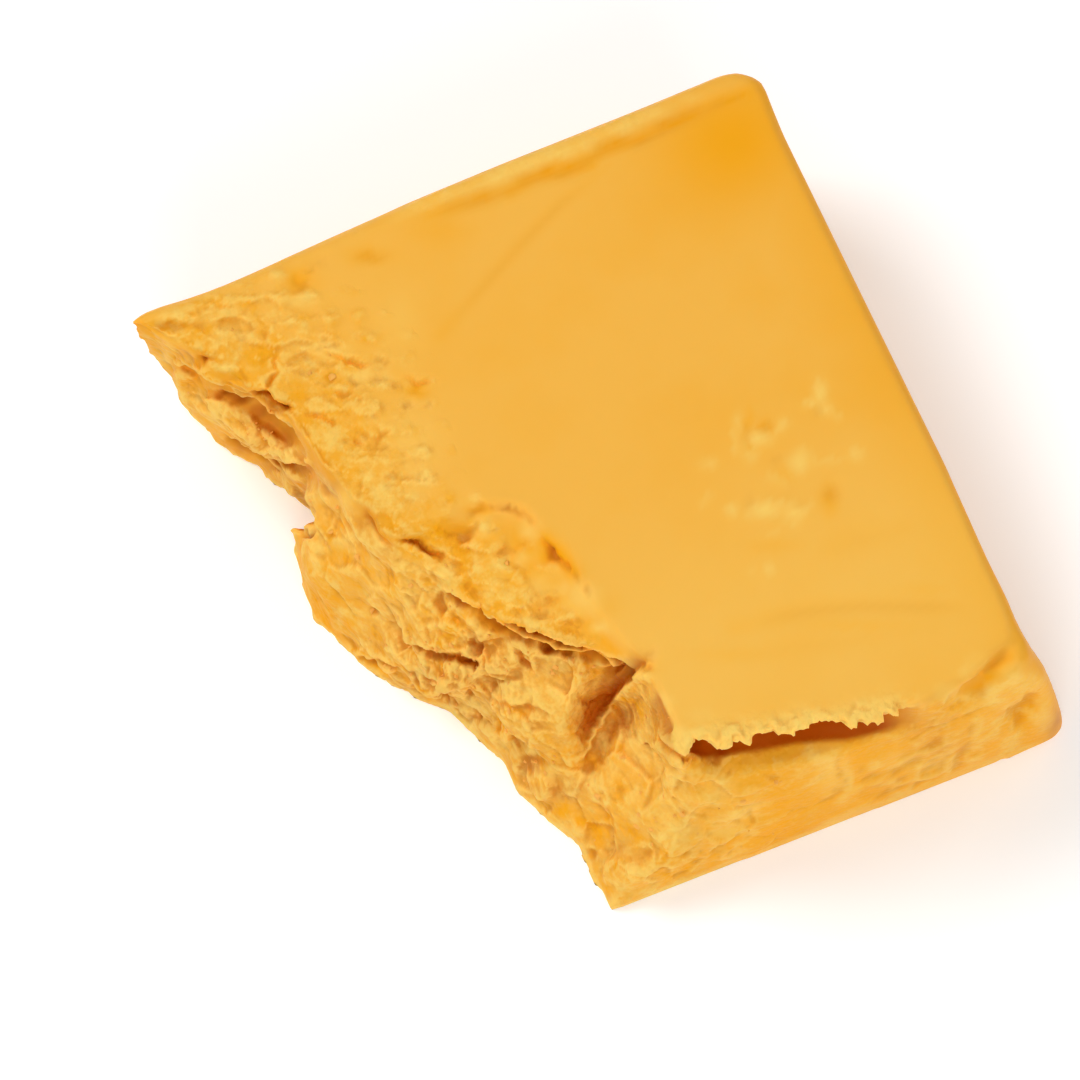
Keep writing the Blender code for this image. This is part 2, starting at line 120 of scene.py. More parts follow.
# Cracks by zone, each zone with the share of its depth that shows: points on the picture plane, half width
# and depth in millimetres
CRACKS = {
    "rough top": (0.45, [
        ([(333, 356), (345, 360), (352, 361), (361, 364), (373, 363)], 0.32, 0.6),
        ([(333, 392), (343, 394), (351, 393)], 0.26, 0.5),
        ([(357, 397), (362, 402)], 0.35, 0.4),
        ([(402, 378), (410, 380), (418, 384), (425, 382), (431, 376)], 0.34, 0.75),
        ([(303, 413), (318, 415), (331, 419), (334, 429)], 0.3, 0.6),
        ([(350, 440), (361, 442)], 0.28, 0.5),
        ([(374, 444), (384, 432), (391, 427)], 0.35, 0.35),
    ]),
    "broken face": (0.85, [
        ([(265, 392), (270, 381), (277, 369)], 0.3, 0.5),
        ([(276, 371), (274, 360), (278, 350)], 0.4, 0.25),
        ([(197, 356), (203, 360), (208, 357)], 0.5, 0.6),
        ([(158, 347), (166, 361), (180, 374)], 0.35, 0.4),
        ([(167, 345), (180, 357), (192, 372), (205, 384)], 0.35, 0.4),
        ([(178, 345), (192, 360), (203, 377)], 0.4, 0.3),
        ([(320, 485), (327, 492), (331, 500)], 0.4, 0.4),
        ([(356, 505), (368, 522), (381, 537), (392, 551)], 0.5, 0.5),
        ([(322, 536), (331, 536), (340, 538)], 0.35, 0.2),
        ([(345, 555), (352, 564), (353, 572)], 0.6, 0.2),
        ([(370, 605), (376, 612), (381, 617)], 0.35, 0.4),
    ]),
    "shelf": (0.6, [
        ([(404, 537), (411, 541), (419, 541), (427, 548), (436, 553)], 0.4, 0.75),
        ([(466, 526), (473, 514), (482, 511), (489, 512)], 0.6, 0.35),
        ([(495, 506), (505, 508), (516, 510), (528, 514)], 0.42, 0.4),
        ([(479, 519), (472, 531), (462, 541), (452, 545)], 0.5, 0.45),
    ]),
    "recess": (0.9, [
        ([(438, 588), (440, 603), (440, 620)], 0.5, 0.5),
        ([(474, 632), (474, 642), (479, 648), (468, 656)], 0.45, 0.5),
        ([(403, 664), (413, 674), (419, 688), (424, 694)], 0.4, 0.5),
        ([(421, 675), (430, 681), (437, 689)], 0.4, 0.55),
        ([(431, 695), (440, 698), (449, 696)], 0.4, 0.6),
        ([(469, 683), (471, 692), (466, 699)], 0.42, 0.6),
        ([(457, 658), (468, 664), (474, 674)], 0.5, 0.7),
        ([(480, 684), (488, 690), (494, 700)], 0.45, 0.4),
        ([(512, 652), (520, 657), (526, 665), (528, 672)], 0.45, 0.6),
        ([(489, 672), (499, 678), (513, 680)], 0.4, 0.45),
        ([(455, 716), (466, 720), (480, 717)], 0.4, 0.4),
        ([(445, 705), (456, 712), (462, 722)], 0.35, 0.4),
    ]),
    "low corner and south face": (0.28, [
        ([(519, 754), (526, 760), (534, 756), (540, 762)], 0.45, 0.8),
        ([(524, 762), (528, 772), (530, 780)], 0.4, 0.5),
        ([(536, 766), (542, 774), (549, 790)], 0.45, 0.4),
        ([(588, 848), (593, 853), (596, 860)], 0.5, 0.6),
        ([(683, 768), (686, 779), (689, 789)], 0.42, 0.6),
        ([(664, 790), (672, 789), (679, 792)], 0.45, 0.4),
        ([(617, 784), (621, 794), (622, 804)], 0.8, 0.35),
        ([(640, 850), (648, 852), (654, 858)], 0.35, 0.35),
        ([(660, 850), (668, 842), (673, 833)], 0.35, 0.45),
        ([(619, 878), (622, 890), (632, 887)], 0.35, 0.35),
        ([(731, 764), (728, 772), (725, 778)], 0.35, 0.5),
        ([(849, 742), (838, 757), (840, 774), (848, 790), (850, 806)], 0.35, 0.4),
        ([(868, 752), (858, 775), (857, 796)], 0.35, 0.25),
        ([(955, 712), (953, 728), (946, 742)], 0.4, 0.25),
        ([(968, 716), (972, 735), (969, 752)], 0.4, 0.25),
    ]),
    "shelf's back": (0.45, [
        ([(547, 546), (550, 556), (558, 562)], 0.45, 0.75),
        ([(560, 562), (569, 568), (577, 577)], 0.42, 0.5),
        ([(638, 664), (644, 669), (650, 664)], 0.5, 0.6),
    ]),
}

# Soft folds and grooves: points on the picture plane, half width and depth in millimetres, and how strongly
# the richer tone and painted shade lie in each
FOLDS = [
    ([(956, 701), (970, 694), (984, 683), (994, 670), (1006, 657), (1020, 644)], 1.0, 1.3, 1.0),
    ([(1008, 722), (1020, 716), (1032, 704), (1043, 697)], 0.9, 1.1, 1.0),
    ([(955, 772), (960, 758), (966, 745)], 0.6, 0.3, 0.8),
    ([(470, 200), (482, 197), (496, 198)], 0.6, 0.1, 0.7),
    ([(526, 179), (545, 172), (562, 168), (580, 164), (592, 157)], 0.7, 0.12, 0.9),
    ([(594, 152), (606, 144), (620, 140), (640, 137), (656, 131)], 0.5, 0.1, 0.85),
    ([(654, 132), (672, 124), (690, 116), (704, 111)], 0.7, 0.12, 0.95),
    ([(712, 104), (730, 100), (745, 94), (762, 92)], 0.6, 0.1, 0.9),
]

# Ledges: points from left to right on the picture plane, cut below them, half width of the cut, lift above
LEDGES = [
    ([(451, 594), (460, 601), (470, 605), (479, 608), (487, 616)], 1.0, 0.45, 0.3),
    ([(500, 621), (512, 625), (522, 628), (531, 632), (541, 633), (551, 638), (562, 642)], 1.5, 0.6, 0.3),
    ([(548, 645), (560, 646), (575, 647), (590, 650), (603, 654), (612, 659)], 1.2, 0.5, 0.3),
    ([(418, 647), (429, 651), (443, 653), (456, 653), (464, 658)], 0.6, 0.45, 0.25),
    ([(492, 506), (508, 508), (522, 512), (534, 520)], 0.25, 0.3, 0.1),
    ([(546, 543), (556, 556), (568, 566), (578, 577), (592, 592)], 0.35, 0.3, 0.1),
    ([(404, 538), (418, 541), (428, 548), (440, 554)], 0.4, 0.35, 0.2),
    ([(352, 655), (364, 659), (376, 660), (388, 664)], 0.5, 0.5, 0.15),
    ([(222, 391), (240, 396), (252, 392), (264, 392), (274, 402), (284, 404)], 0.9, 0.5, 0.2),
    ([(231, 438), (245, 446), (262, 454), (280, 462), (299, 464)], 0.8, 0.45, 0.35),
    ([(612, 668), (620, 668), (628, 673), (636, 678)], 1.3, 0.5, 0.2),
    ([(500, 700), (516, 706), (530, 704), (545, 712)], 0.3, 0.4, 0.15),
    ([(662, 738), (668, 748), (680, 756), (690, 757)], 0.4, 0.5, 0.15),
]

# The valley's overhanging north-west wall, from top to bottom, on the picture plane
VALLEY_WALL = [(634, 675), (620, 690), (609, 705), (599, 720), (592, 734), (583, 747)]
VALLEY_CUT = 0.8
VALLEY_WIDTH = 2.6
# Strength of the painted shade on the valley's floor
VALLEY_SHADE = 0.75

# Hollows on the picture plane: across, down, half width, half height and depth in millimetres
HOLLOWS = [
    (300, 283, 13, 9, 0.25), (318, 262, 14, 7, 0.15), (370, 256, 18, 6, 0.15), (415, 390, 12, 6, 0.2),
    (172, 330, 20, 8, 0.35), (206, 303, 22, 5, 0.2), (210, 358, 14, 9, 0.35), (236, 380, 16, 9, 0.35),
    (547, 556, 12, 9, 0.2), (480, 511, 13, 5, 0.1), (463, 537, 12, 7, 0.2), (337, 595, 8, 12, 0.2),
    (352, 563, 7, 8, 0.08), (478, 646, 12, 8, 0.2), (262, 412, 18, 10, 0.5), (284, 438, 12, 12, 0.4),
    (528, 762, 12, 8, 0.3), (592, 855, 7, 7, 0.1), (620, 795, 9, 12, 0.12), (455, 612, 10, 8, 0.3),
    (500, 640, 12, 6, 0.3), (430, 672, 14, 8, 0.3), (394, 672, 10, 6, 0.2), (520, 668, 10, 8, 0.3),
    (648, 668, 9, 6, 0.3), (606, 765, 14, 8, 0.2), (365, 520, 10, 12, 0.2), (416, 560, 10, 10, 0.2),
    (345, 440, 10, 7, 0.12), (381, 434, 9, 6, 0.15),
]

# Tones on the picture plane, partly the cheese's own and partly painted shade and highlight: across, down,
# half width, half height and strength
# Orange spots: partly the cheese's own tone, partly painted shade in hollows, folds and grooves
ORANGE_TONE_AND_SHADE_SPOTS = [
    (300, 281, 17, 13, 0.8), (368, 256, 20, 8, 0.6), (416, 390, 13, 8, 0.8), (172, 328, 24, 10, 0.9),
    (210, 302, 30, 6, 0.5), (215, 360, 20, 16, 0.6), (236, 380, 22, 14, 0.5), (546, 556, 16, 14, 0.9),
    (480, 511, 14, 6, 0.8), (462, 536, 14, 9, 0.6), (336, 592, 10, 18, 0.7), (352, 655, 26, 9, 0.6),
    (395, 668, 16, 7, 0.6), (356, 615, 8, 30, 0.4), (325, 625, 16, 30, 0.9), (1000, 702, 30, 18, 0.4),
    (620, 795, 12, 16, 0.7),
    (592, 760, 26, 12, 0.6), (540, 812, 26, 10, 0.6), (600, 824, 26, 14, 0.4), (455, 640, 14, 12, 0.4),
    (648, 668, 14, 8, 0.5), (606, 606, 18, 12, 0.3), (380, 436, 12, 8, 0.4), (332, 414, 14, 6, 0.5),
    (342, 360, 12, 5, 0.4), (230, 436, 20, 10, 0.5), (720, 120, 60, 12, 0.5), (760, 150, 26, 30, 0.4),
    (1012, 722, 16, 9, 0.6), (955, 755, 30, 14, 0.9), (860, 625, 60, 7, 0.4), (740, 655, 50, 7, 0.35),
    (930, 590, 40, 8, 0.3), (150, 325, 16, 10, 0.6), (190, 345, 20, 14, 0.4), (900, 735, 30, 14, 0.35),
        (200, 372, 26, 16, 0.8), (225, 350, 20, 10, 0.5), (350, 618, 10, 20, 0.8), (320, 600, 24, 44, 0.7),
    (764, 427, 7, 6, 0.6), (829, 500, 9, 15, 0.7), (783, 475, 8, 10, 0.3), (775, 546, 26, 8, 0.35),
    (748, 420, 3, 10, 0.5), (962, 760, 10, 10, 0.5), (686, 772, 5, 14, 0.6), (722, 770, 5, 8, 0.5),
    (440, 230, 30, 12, 0.25), (640, 870, 60, 14, 0.4), (760, 800, 60, 16, 0.2), (700, 770, 10, 12, 0.3),
]
# Brown spots: painted shade in the recesses, the valley, under the lip and near the foot of the broken face
BROWN_SHADE_SPOTS = [
    (540, 725, 34, 20, 0.35), (500, 700, 40, 26, 0.3), (400, 640, 26, 22, 0.3),
    (400, 690, 22, 16, 0.7), (435, 715, 20, 16, 0.7), (465, 740, 14, 12, 0.5), (350, 672, 22, 10, 0.5),
    (240, 398, 14, 9, 0.75), (270, 428, 15, 13, 0.8), (300, 458, 14, 13, 0.7), (327, 486, 14, 12, 0.5),
    (632, 708, 9, 16, 0.7), (604, 735, 14, 14, 0.6), (655, 700, 9, 20, 0.15),
    (262, 410, 26, 14, 0.75), (284, 440, 20, 18, 0.75), (246, 446, 20, 9, 0.7), (318, 480, 22, 20, 0.45),
    (360, 520, 26, 26, 0.42), (388, 546, 14, 10, 0.5), (440, 655, 26, 9, 0.8), (470, 670, 22, 16, 0.75),
    (420, 684, 26, 18, 0.75), (500, 668, 26, 16, 0.6), (555, 664, 40, 12, 0.6), (525, 640, 30, 8, 0.8),
    (478, 645, 16, 12, 0.8), (470, 716, 22, 12, 0.5), (530, 766, 18, 12, 0.8), (560, 790, 34, 12, 0.5),
    (620, 715, 14, 28, 0.5), (646, 712, 12, 26, 0.15), (890, 722, 34, 10, 0.4),
    (930, 722, 22, 14, 0.35), (1052, 728, 8, 14, 0.6), (400, 535, 18, 8, 0.3), (592, 855, 8, 8, 0.6),
    (280, 465, 30, 8, 0.7), (660, 735, 10, 10, 0.3),
    (630, 852, 26, 22, 0.24), (440, 690, 48, 32, 0.5), (400, 650, 40, 26, 0.35),
    (200, 370, 26, 16, 0.18), (221, 391, 12, 8, 0.6),
    (300, 468, 18, 12, 0.7), (331, 488, 14, 10, 0.7), (1057, 722, 5, 14, 0.9), (912, 722, 14, 12, 0.6),
    (940, 745, 26, 18, 0.3),
]
# Pale spots: partly the pale tone of crumbs and the lip, partly painted highlight on crests and lit slopes
PALE_TONE_AND_HIGHLIGHT_SPOTS = [
    (820, 393, 8, 12, 0.9), (826, 409, 9, 7, 0.7), (812, 403, 7, 5, 0.7), (758, 439, 12, 7, 0.9),
    (750, 455, 8, 9, 0.5), (800, 462, 11, 12, 0.8), (783, 424, 6, 6, 0.7), (856, 455, 8, 8, 0.6),
    (765, 510, 18, 8, 0.9), (795, 513, 12, 9, 0.8), (731, 511, 6, 6, 0.7), (792, 524, 12, 4, 0.5),
    (768, 569, 7, 8, 0.6), (752, 570, 6, 7, 0.4), (708, 464, 9, 6, 0.5), (738, 425, 5, 12, 0.5),
    (965, 672, 9, 8, 0.5), (992, 700, 14, 7, 0.6), (1014, 676, 9, 9, 0.5), (1042, 716, 8, 9, 0.5),
    (948, 742, 5, 12, 0.3), (925, 740, 5, 10, 0.2), (978, 728, 6, 14, 0.4), (846, 780, 6, 22, 0.6),
    (630, 664, 10, 6, 0.8), (685, 742, 16, 9, 0.8), (665, 700, 14, 12, 0.5),
    (320, 348, 24, 5, 0.7), (300, 301, 18, 5, 0.5), (358, 376, 14, 8, 0.6), (232, 328, 8, 8, 0.5),
    (217, 412, 8, 12, 0.7), (165, 360, 8, 12, 0.5), (400, 320, 20, 30, 0.25), (410, 440, 30, 26, 0.3),
    (484, 528, 10, 10, 0.8), (528, 532, 10, 8, 0.6), (500, 560, 14, 30, 0.4), (580, 600, 24, 20, 0.6),
    (540, 618, 30, 8, 0.5), (446, 572, 10, 14, 0.7), (316, 560, 5, 22, 0.3), (340, 545, 12, 6, 0.5),
    (405, 600, 16, 24, 0.4), (484, 706, 10, 12, 0.6), (540, 730, 30, 16, 0.2), (600, 628, 10, 6, 0.7),
    (625, 664, 14, 6, 0.8), (680, 736, 18, 14, 0.7), (700, 715, 24, 14, 0.4), (556, 668, 12, 6, 0.6),
    (680, 834, 24, 12, 0.5), (720, 790, 20, 20, 0.4), (735, 815, 26, 16, 0.3), (650, 800, 26, 10, 0.4),
    (585, 692, 24, 12, 0.35), (640, 745, 16, 20, 0.3), (830, 770, 16, 26, 0.5), (900, 762, 24, 12, 0.25),
    (800, 716, 120, 12, 0.35), (1010, 668, 16, 10, 0.3), (975, 655, 16, 10, 0.3),
    (945, 690, 16, 10, 0.4), (324, 498, 10, 10, 0.5),
    (345, 500, 16, 16, 0.5), (500, 180, 14, 6, 0.4), (528, 166, 10, 6, 0.4), (560, 152, 18, 5, 0.6),
    (586, 148, 10, 6, 0.4), (622, 130, 16, 5, 0.4), (655, 113, 16, 5, 0.3), (690, 98, 12, 5, 0.3),
    (988, 698, 10, 7, 0.7), (1016, 666, 9, 6, 0.4), (1040, 715, 8, 6, 0.5), (1012, 742, 10, 8, 0.5),
    (970, 665, 12, 10, 0.4), (560, 590, 14, 10, 0.6), (540, 590, 22, 18, 0.6), (520, 560, 12, 10, 0.5),
    (548, 610, 14, 8, 0.5), (372, 578, 12, 14, 0.35), (548, 775, 14, 8, 0.5),
]

# Small corrections of the outline on the picture plane: place, radius, and shifts across and up in
# millimetres
NUDGES = [
    ((299, 512), 10.0, 2.1, -1.0),
    ((304, 527), 7.0, 1.3, -1.4),
    ((289, 534), 5.0, -0.3, 0.5),
    ((1028, 638), 30.0, -0.55, 0.0),
    ((170, 300), 40.0, 0.0, 0.4),
    ((764, 84), 14.0, 0.2, 0.3),
    ((150, 330), 32.0, -1.1, 0.3),
]

# Shallow dents in the smooth top: x, y, half width and depth
DENTS = [
    (24.1, -2.3, 0.55, 0.3), (27.4, -11.4, 0.8, 0.35), (19.4, -9.0, 0.5, 0.12), (23.6, -5.9, 0.5, 0.15),
    (29.9, -2.9, 0.5, 0.15),
]

# Pale scales lifted from the smooth top: x, y, length, breadth, turn in degrees and strength. The height in
# millimetres is that of a scale of full strength.
SCALE_HEIGHT = 0.4
SCALES = [
    (31.0, -0.6, 1.0, 0.7, 60.0, 0.32), (29.4, -1.9, 0.9, 0.6, -10.0, 0.25),
    (30.9, -3.6, 1.3, 0.7, -70.0, 0.18),
    (22.8, -3.7, 1.7, 0.8, -15.0, 0.22), (20.9, -2.4, 1.6, 0.7, 70.0, 0.18),
    (25.8, -3.0, 0.9, 0.7, 30.0, 0.25),
    (26.3, -6.9, 1.2, 0.9, 50.0, 0.34), (28.4, -8.3, 1.6, 0.6, -20.0, 0.18),
    (31.3, -8.4, 0.8, 0.6, 20.0, 0.22),
    (21.6, -10.4, 1.9, 0.7, -24.0, 0.3), (19.2, -10.8, 1.3, 0.6, -15.0, 0.2),
    (22.9, -12.0, 1.5, 0.6, -35.0, 0.28),
    (24.4, -12.1, 0.9, 0.6, 20.0, 0.28), (17.4, -9.4, 0.9, 0.6, 10.0, 0.15),
    (18.3, -16.2, 0.7, 0.6, 0.0, 0.16),
    (22.7, -8.2, 1.3, 0.8, -50.0, 0.14), (15.4, -7.2, 1.1, 0.7, 30.0, 0.1),
    (20.1, -13.2, 0.8, 0.5, 0.0, 0.12),
]

# Image-right on the plan, along which the flakes of the rough top lie, and the run of the crumbly slope
TOP_GRAIN = Vector((0.916, -0.401, 0.0))
SLOPE_GRAIN = Vector((0.30, -0.76, -0.58)).normalized()

# Fine ledges of the crumbly slope: the way across them, their spacing and height in millimetres
SLOPE_ACROSS = Vector((-0.66, 0.27, -0.70))
STREAK_SPACING = 1.15
STREAK_HEIGHT = 0.364

# Thin layers of the rough top: spread over the plan and height of a step, in millimetres
LAYER_SPREAD = 5.5
LAYER_STEP = 0.26

SEED = Vector((3.7, 11.3, 5.9))
SENSOR = 36.0

# Soft lights: place and width in metres, and power in watts
LIGHTS = {
    "key_light": ((-0.30, 0.36, 0.62), 0.32, 2.65),
    "side_light": ((0.50, 0.02, 0.28), 0.40, 0.47),
    "fill_light": ((-0.12, -0.55, 0.42), 0.50, 1.81),
}
WORLD_LIGHT = 0.372
FLOOR_SIZE = 6.0
FLOOR_BELOW = 0.00005

# Crumbs: shapes to choose from, the start of the random draws, how much small ones prevail, and the share of
# its width by which a crumb stands out
CRUMB_KINDS = 6
CRUMB_SEED = 5
CRUMB_SMALLNESS = 2.2
CRUMB_LIFT = 0.12

# Grain of the cheese: scale of the crumbs' pattern, and scale and detail of the softer noises
CRUMB_SCALE = 1500.0
NOISES = {
    "grit": (1100.0, 3.0), "curd": (160.0, 2.0), "skin": (420.0, 4.0),
    "blotch": (95.0, 3.0), "fleck": (430.0, 5.0),
}
GRAIN_HEIGHT = 0.00024

# Light passes this far into the cheese, as reach in metres and the share of it for red, green and blue
SCATTER_REACH = 0.00035
SCATTER_SHARES = (1.0, 0.38, 0.09)

# Rays cast from each vertex to find hollows for the painted shade, and how far they reach in millimetres
CLOSED_RAYS = 20
CLOSED_REACH = 7.0


def mix(a, b, t):
    """Value between a and b."""
    return a + (b - a) * t


def ease(edge_a, edge_b, value):
    """Smooth step from 0 at edge_a to 1 at edge_b, for one value or an array."""
    t = np.clip((value - edge_a) / (edge_b - edge_a), 0.0, 1.0)
    return t * t * (3.0 - 2.0 * t)


def window(span, value):
    """Smooth window: 0 outside the first and last of four edges, 1 between the two middle ones."""
    return ease(span[0], span[1], value) * ease(span[3], span[2], value)


def bell(offset_a, half_a, offset_b=0.0, half_b=1.0):
    """Bell-shaped share, 1 at no offset, with a half width each way."""
    return np.exp(-(offset_a / half_a) ** 2 - (offset_b / half_b) ** 2)


def read_line(line, place):
    """Second column of a line of points, read at places along its first column."""
    table = np.array(line, float)
    return np.interp(place, table[:, 0], table[:, 1])


def plan_origin():
    """Place of the plan's origin in the frame, in metres."""
    high = CAD_BOX[1]
    return Vector((high.x - EAST_MOST * MM, high.y - NORTH_MOST * MM, 0.0))


def read_points(mesh):
    """The mesh's vertices in millimetres on the plan."""
    flat = np.zeros(len(mesh.vertices) * 3)
    mesh.vertices.foreach_get("co", flat)
    return (flat.reshape(-1, 3) - np.array(plan_origin())) / MM


def write_points(mesh, points):
    """Vertices put back from millimetres on the plan."""
    mesh.vertices.foreach_set("co", (points * MM + np.array(plan_origin())).ravel())
    mesh.update()


def read_normals(mesh):
    """Outward direction at each vertex."""
    flat = np.zeros(len(mesh.vertices) * 3)
    mesh.vertex_normals.foreach_get("vector", flat)
    return flat.reshape(-1, 3)


def read_edges(mesh):
    """The two vertices of every edge."""
    flat = np.zeros(len(mesh.edges) * 2, int)
    mesh.edges.foreach_get("vertices", flat)
    return flat.reshape(-1, 2)


def neighbour_mean(values, edges, rounds, share=0.5):
    """Values evened out along the edges, some rounds over."""
    count = len(values)
    a, b = edges[:, 0], edges[:, 1]
    degree = np.maximum(np.bincount(a, minlength=count) + np.bincount(b, minlength=count), 1)
    out = np.array(values, float)
    flat = out.reshape(count, -1)
    for _ in range(rounds):
        total = np.zeros_like(flat)
        for axis in range(flat.shape[1]):
            total[:, axis] = np.bincount(a, flat[b, axis], count) + np.bincount(b, flat[a, axis], count)
        flat = flat + share * (total / degree[:, None] - flat)
    return flat.reshape(out.shape)


def deselect_all():
    """Nothing selected, because the loaded nodes are selected at first."""
    bpy.ops.object.select_all(action="DESELECT")


def make_active(item):
    """The one selected and active object."""
    deselect_all()
    item.select_set(True)
    bpy.context.view_layer.objects.active = item


def apply_modifier(item, name, kind, **values):
    """A modifier added with its values and applied."""
    make_active(item)
    modifier = item.modifiers.new(name, kind)
    for key, value in values.items():
        setattr(modifier, key, value)
    bpy.ops.object.modifier_apply(modifier=modifier.name)


def select_faces(mesh, chosen):
    """Exactly these faces selected, for edit mode."""
    mesh.vertices.foreach_set("select", np.zeros(len(mesh.vertices), bool))
    mesh.edges.foreach_set("select", np.zeros(len(mesh.edges), bool))
    mesh.polygons.foreach_set("select", chosen)


def face_centres(mesh):
    """Middle of every face in millimetres on the plan."""
    flat = np.zeros(len(mesh.polygons) * 3)
    mesh.polygons.foreach_get("center", flat)
    return (flat.reshape(-1, 3) - np.array(plan_origin())) / MM


def line_gap(places, line):
    """Distance from each place to a line of points, how far it lies on the upper side, and how far along."""
    gap = np.full(len(places), 1e3)
    side = np.zeros(len(places))
    along = np.zeros(len(places))
    for number, (start, end) in enumerate(zip(line, line[1:])):
        start = np.array(start, float)
        run = np.array(end, float) - start
        from_start = places[:, :2] - start
        share = np.clip((from_start @ run) / (run @ run), 0.0, 1.0)
        here = np.linalg.norm(from_start - share[:, None] * run, axis=1)
        across = (run[1] * from_start[:, 0] - run[0] * from_start[:, 1]) / np.linalg.norm(run)
        nearer = here < gap
        gap = np.where(nearer, here, gap)
        side = np.where(nearer, across, side)
        along = np.where(nearer, (number + share) / (len(line) - 1), along)
    return gap, side, along


# Shares of the surface

def towards_camera():
    """Direction from the block to the camera."""
    stage = bpy.context.scene.cheddar_stage
    flat = math.cos(stage.elevation)
    return math.sin(stage.azimuth) * flat, -math.cos(stage.azimuth) * flat, math.sin(stage.elevation)


def picture_right():
    """Direction on the plan that runs to the right in the picture."""
    stage = bpy.context.scene.cheddar_stage
    return np.array((math.cos(stage.azimuth), math.sin(stage.azimuth), 0.0))


def picture_unit():
    """Millimetres on the block for one unit of the picture."""
    stage = bpy.context.scene.cheddar_stage
    return SENSOR * stage.distance / MM / (stage.lens * PICTURE_SIDE)


def picture_place(points):
    """Where the camera sees each point, across and down the picture."""
    stage = bpy.context.scene.cheddar_stage
    back = np.array(towards_camera())
    right = picture_right()
    up = np.cross(back, right)
    away = points - np.array((0.0, 0.0, THICK / 2.0)) - back * stage.distance / MM
    reach = stage.lens / SENSOR * PICTURE_SIDE / -(away @ back)
    across = PICTURE_SIDE / 2 + (away @ right) * reach
    down = PICTURE_SIDE / 2 - (away @ up) * reach
    return np.stack((across, down), axis=1)


def facing(normals):
    """How squarely each vertex faces the camera."""
    return normals @ np.array(towards_camera())


def rim_gap(points):
    """How far each point lies east of the broken face's top edge."""
    return points[:, 0] - read_line(RIM_LINE, points[:, 1])


def lip_gap(points):
    """How far each point lies north of the south face's upper edge."""
    return points[:, 1] - read_line(LIP_LINE, points[:, 0])


def rough_top_share(points):
    """0 on the smooth top, growing to 1 at the broken rim."""
    smooth = read_line(SMOOTH_LINE, points[:, 1])
    rim = read_line(RIM_LINE, points[:, 1])
    return np.clip((smooth - points[:, 0]) / np.maximum(smooth - rim, 0.5), 0.0, 1.0)


def surface_shares(points, normals):
    """Shares of the broken face, the rough top, the south face and the smooth top at each vertex."""
    x, y, z = points.T
    up = normals[:, 2]
    fade = ease(35.4, 34.0, y) * ease(-1.6, -0.7, up)
    west_face = ease(0.9, -0.6, rim_gap(points))
    under = ease(6.0, 2.0, rim_gap(points)) * ease(0.3, -0.2, up) * ease(27.0, 25.5, z)
    broken = np.maximum(west_face, under) * ease(36.0, 33.0, y)
    south_side = ease(0.9, -0.2, lip_gap(points)) * ease(27.6, 26.6, z)
    south = south_side * (1.0 - west_face) * ease(44.0, 38.0, x)
    share = rough_top_share(points)
    top = ease(0.5, 0.8, up) * ease(22.0, 23.5, z) * (1.0 - west_face)
    waves = np.sin(x * 1.9 + 1.3 * np.sin(y * 1.1)) + np.sin(y * 2.3 + x * 0.8)
    ragged = share + 0.12 * waves * (share > 0.0)
    rough_top = ease(0.0, 0.62, ragged) * top * ease(35.0, 33.0, y)
    return {
        "broken": broken * fade,
        "rough_top": rough_top,
        "south": south,
        "top": top,
        "share": share,
    }


def near_lip_share(points):
    """Share of the crumbly band of the top along the broken lip."""
    band = bell(lip_gap(points) - 0.6, 1.5) * window((1.0, 4.0, 23.0, 28.0), points[:, 0])
    return band * ease(26.2, 27.2, points[:, 2])


# Relief of broken cheese

def chip(point, size, grain, stretch, tilt, level):
    """Height of flat chips of a size, each with its own tilt and level, drawn out along the grain."""
    along = point.dot(grain)
    place = (point + grain * (along / stretch - along)) / size + SEED * size
    gaps, centres = noise.voronoi(place)
    centre = centres[0]
    lean = noise.noise_vector(centre * 1.37 + SEED)
    rise = noise.noise(centre.yzx * 1.71)
    height = size * (tilt * (place - centre).dot(lean) + level * rise)
    return height * min((gaps[1] - gaps[0]) / 0.12 + 0.35, 1.0)


def streaks(point):
    """Height of fine ledges that run down the slope, broken back one after the other."""
    level = point.dot(SLOPE_ACROSS) / STREAK_SPACING + 1.7 * noise.fractal(point / 3.4 + SEED, 1.0, 2.0, 3)
    part = level - math.floor(level)
    return part if part < 0.75 else 3.0 * (1.0 - part)


def layers(point):
    """Height of the rough top's thin layers, broken back one after the other, in steps."""
    along = point.dot(TOP_GRAIN)
    place = (point - TOP_GRAIN * along * 0.5) / LAYER_SPREAD + SEED
    level = 2.8 * noise.fractal(place, 0.9, 2.2, 4)
    part = level - math.floor(level)
    return math.floor(level) + (0.25 * part if part < 0.78 else 0.195 + 3.66 * (part - 0.78))


def crumbly(point, roughness, settings):
    """Height of the broken face's facets, chips and crumbs."""
    fine = max(roughness - 0.35, 0.0)
    height = 0.3 * noise.fractal(point / 3.2 + SEED, 1.0, 2.0, 2) * roughness
    size = settings.chip_size / MM
    middling = 0.3 * roughness + 0.7 * fine
    height += chip(point, size, SLOPE_GRAIN, 1.3, 0.42, 0.24) * roughness
    height += chip(point, size * 0.5, SLOPE_GRAIN, 1.5, 0.5, 0.3) * middling
    height += chip(point, size * 0.27, SLOPE_GRAIN, 1.3, 0.6, 0.4) * 0.6 * fine
    height += STREAK_HEIGHT * streaks(point) * fine
    return height


def flaky(point, roughness, settings):
    """Height of the rough top's thin flakes."""
    height = 0.25 * noise.fractal(point / 4.4 + SEED, 1.0, 2.0, 2)
    height += chip(point, settings.flake_size / MM, TOP_GRAIN, 2.0, 0.2, 0.1)
    height += 0.6 * chip(point, settings.flake_size / MM * 0.42, TOP_GRAIN, 2.0, 0.26, 0.12)
    height += LAYER_STEP * layers(point)
    return height * roughness


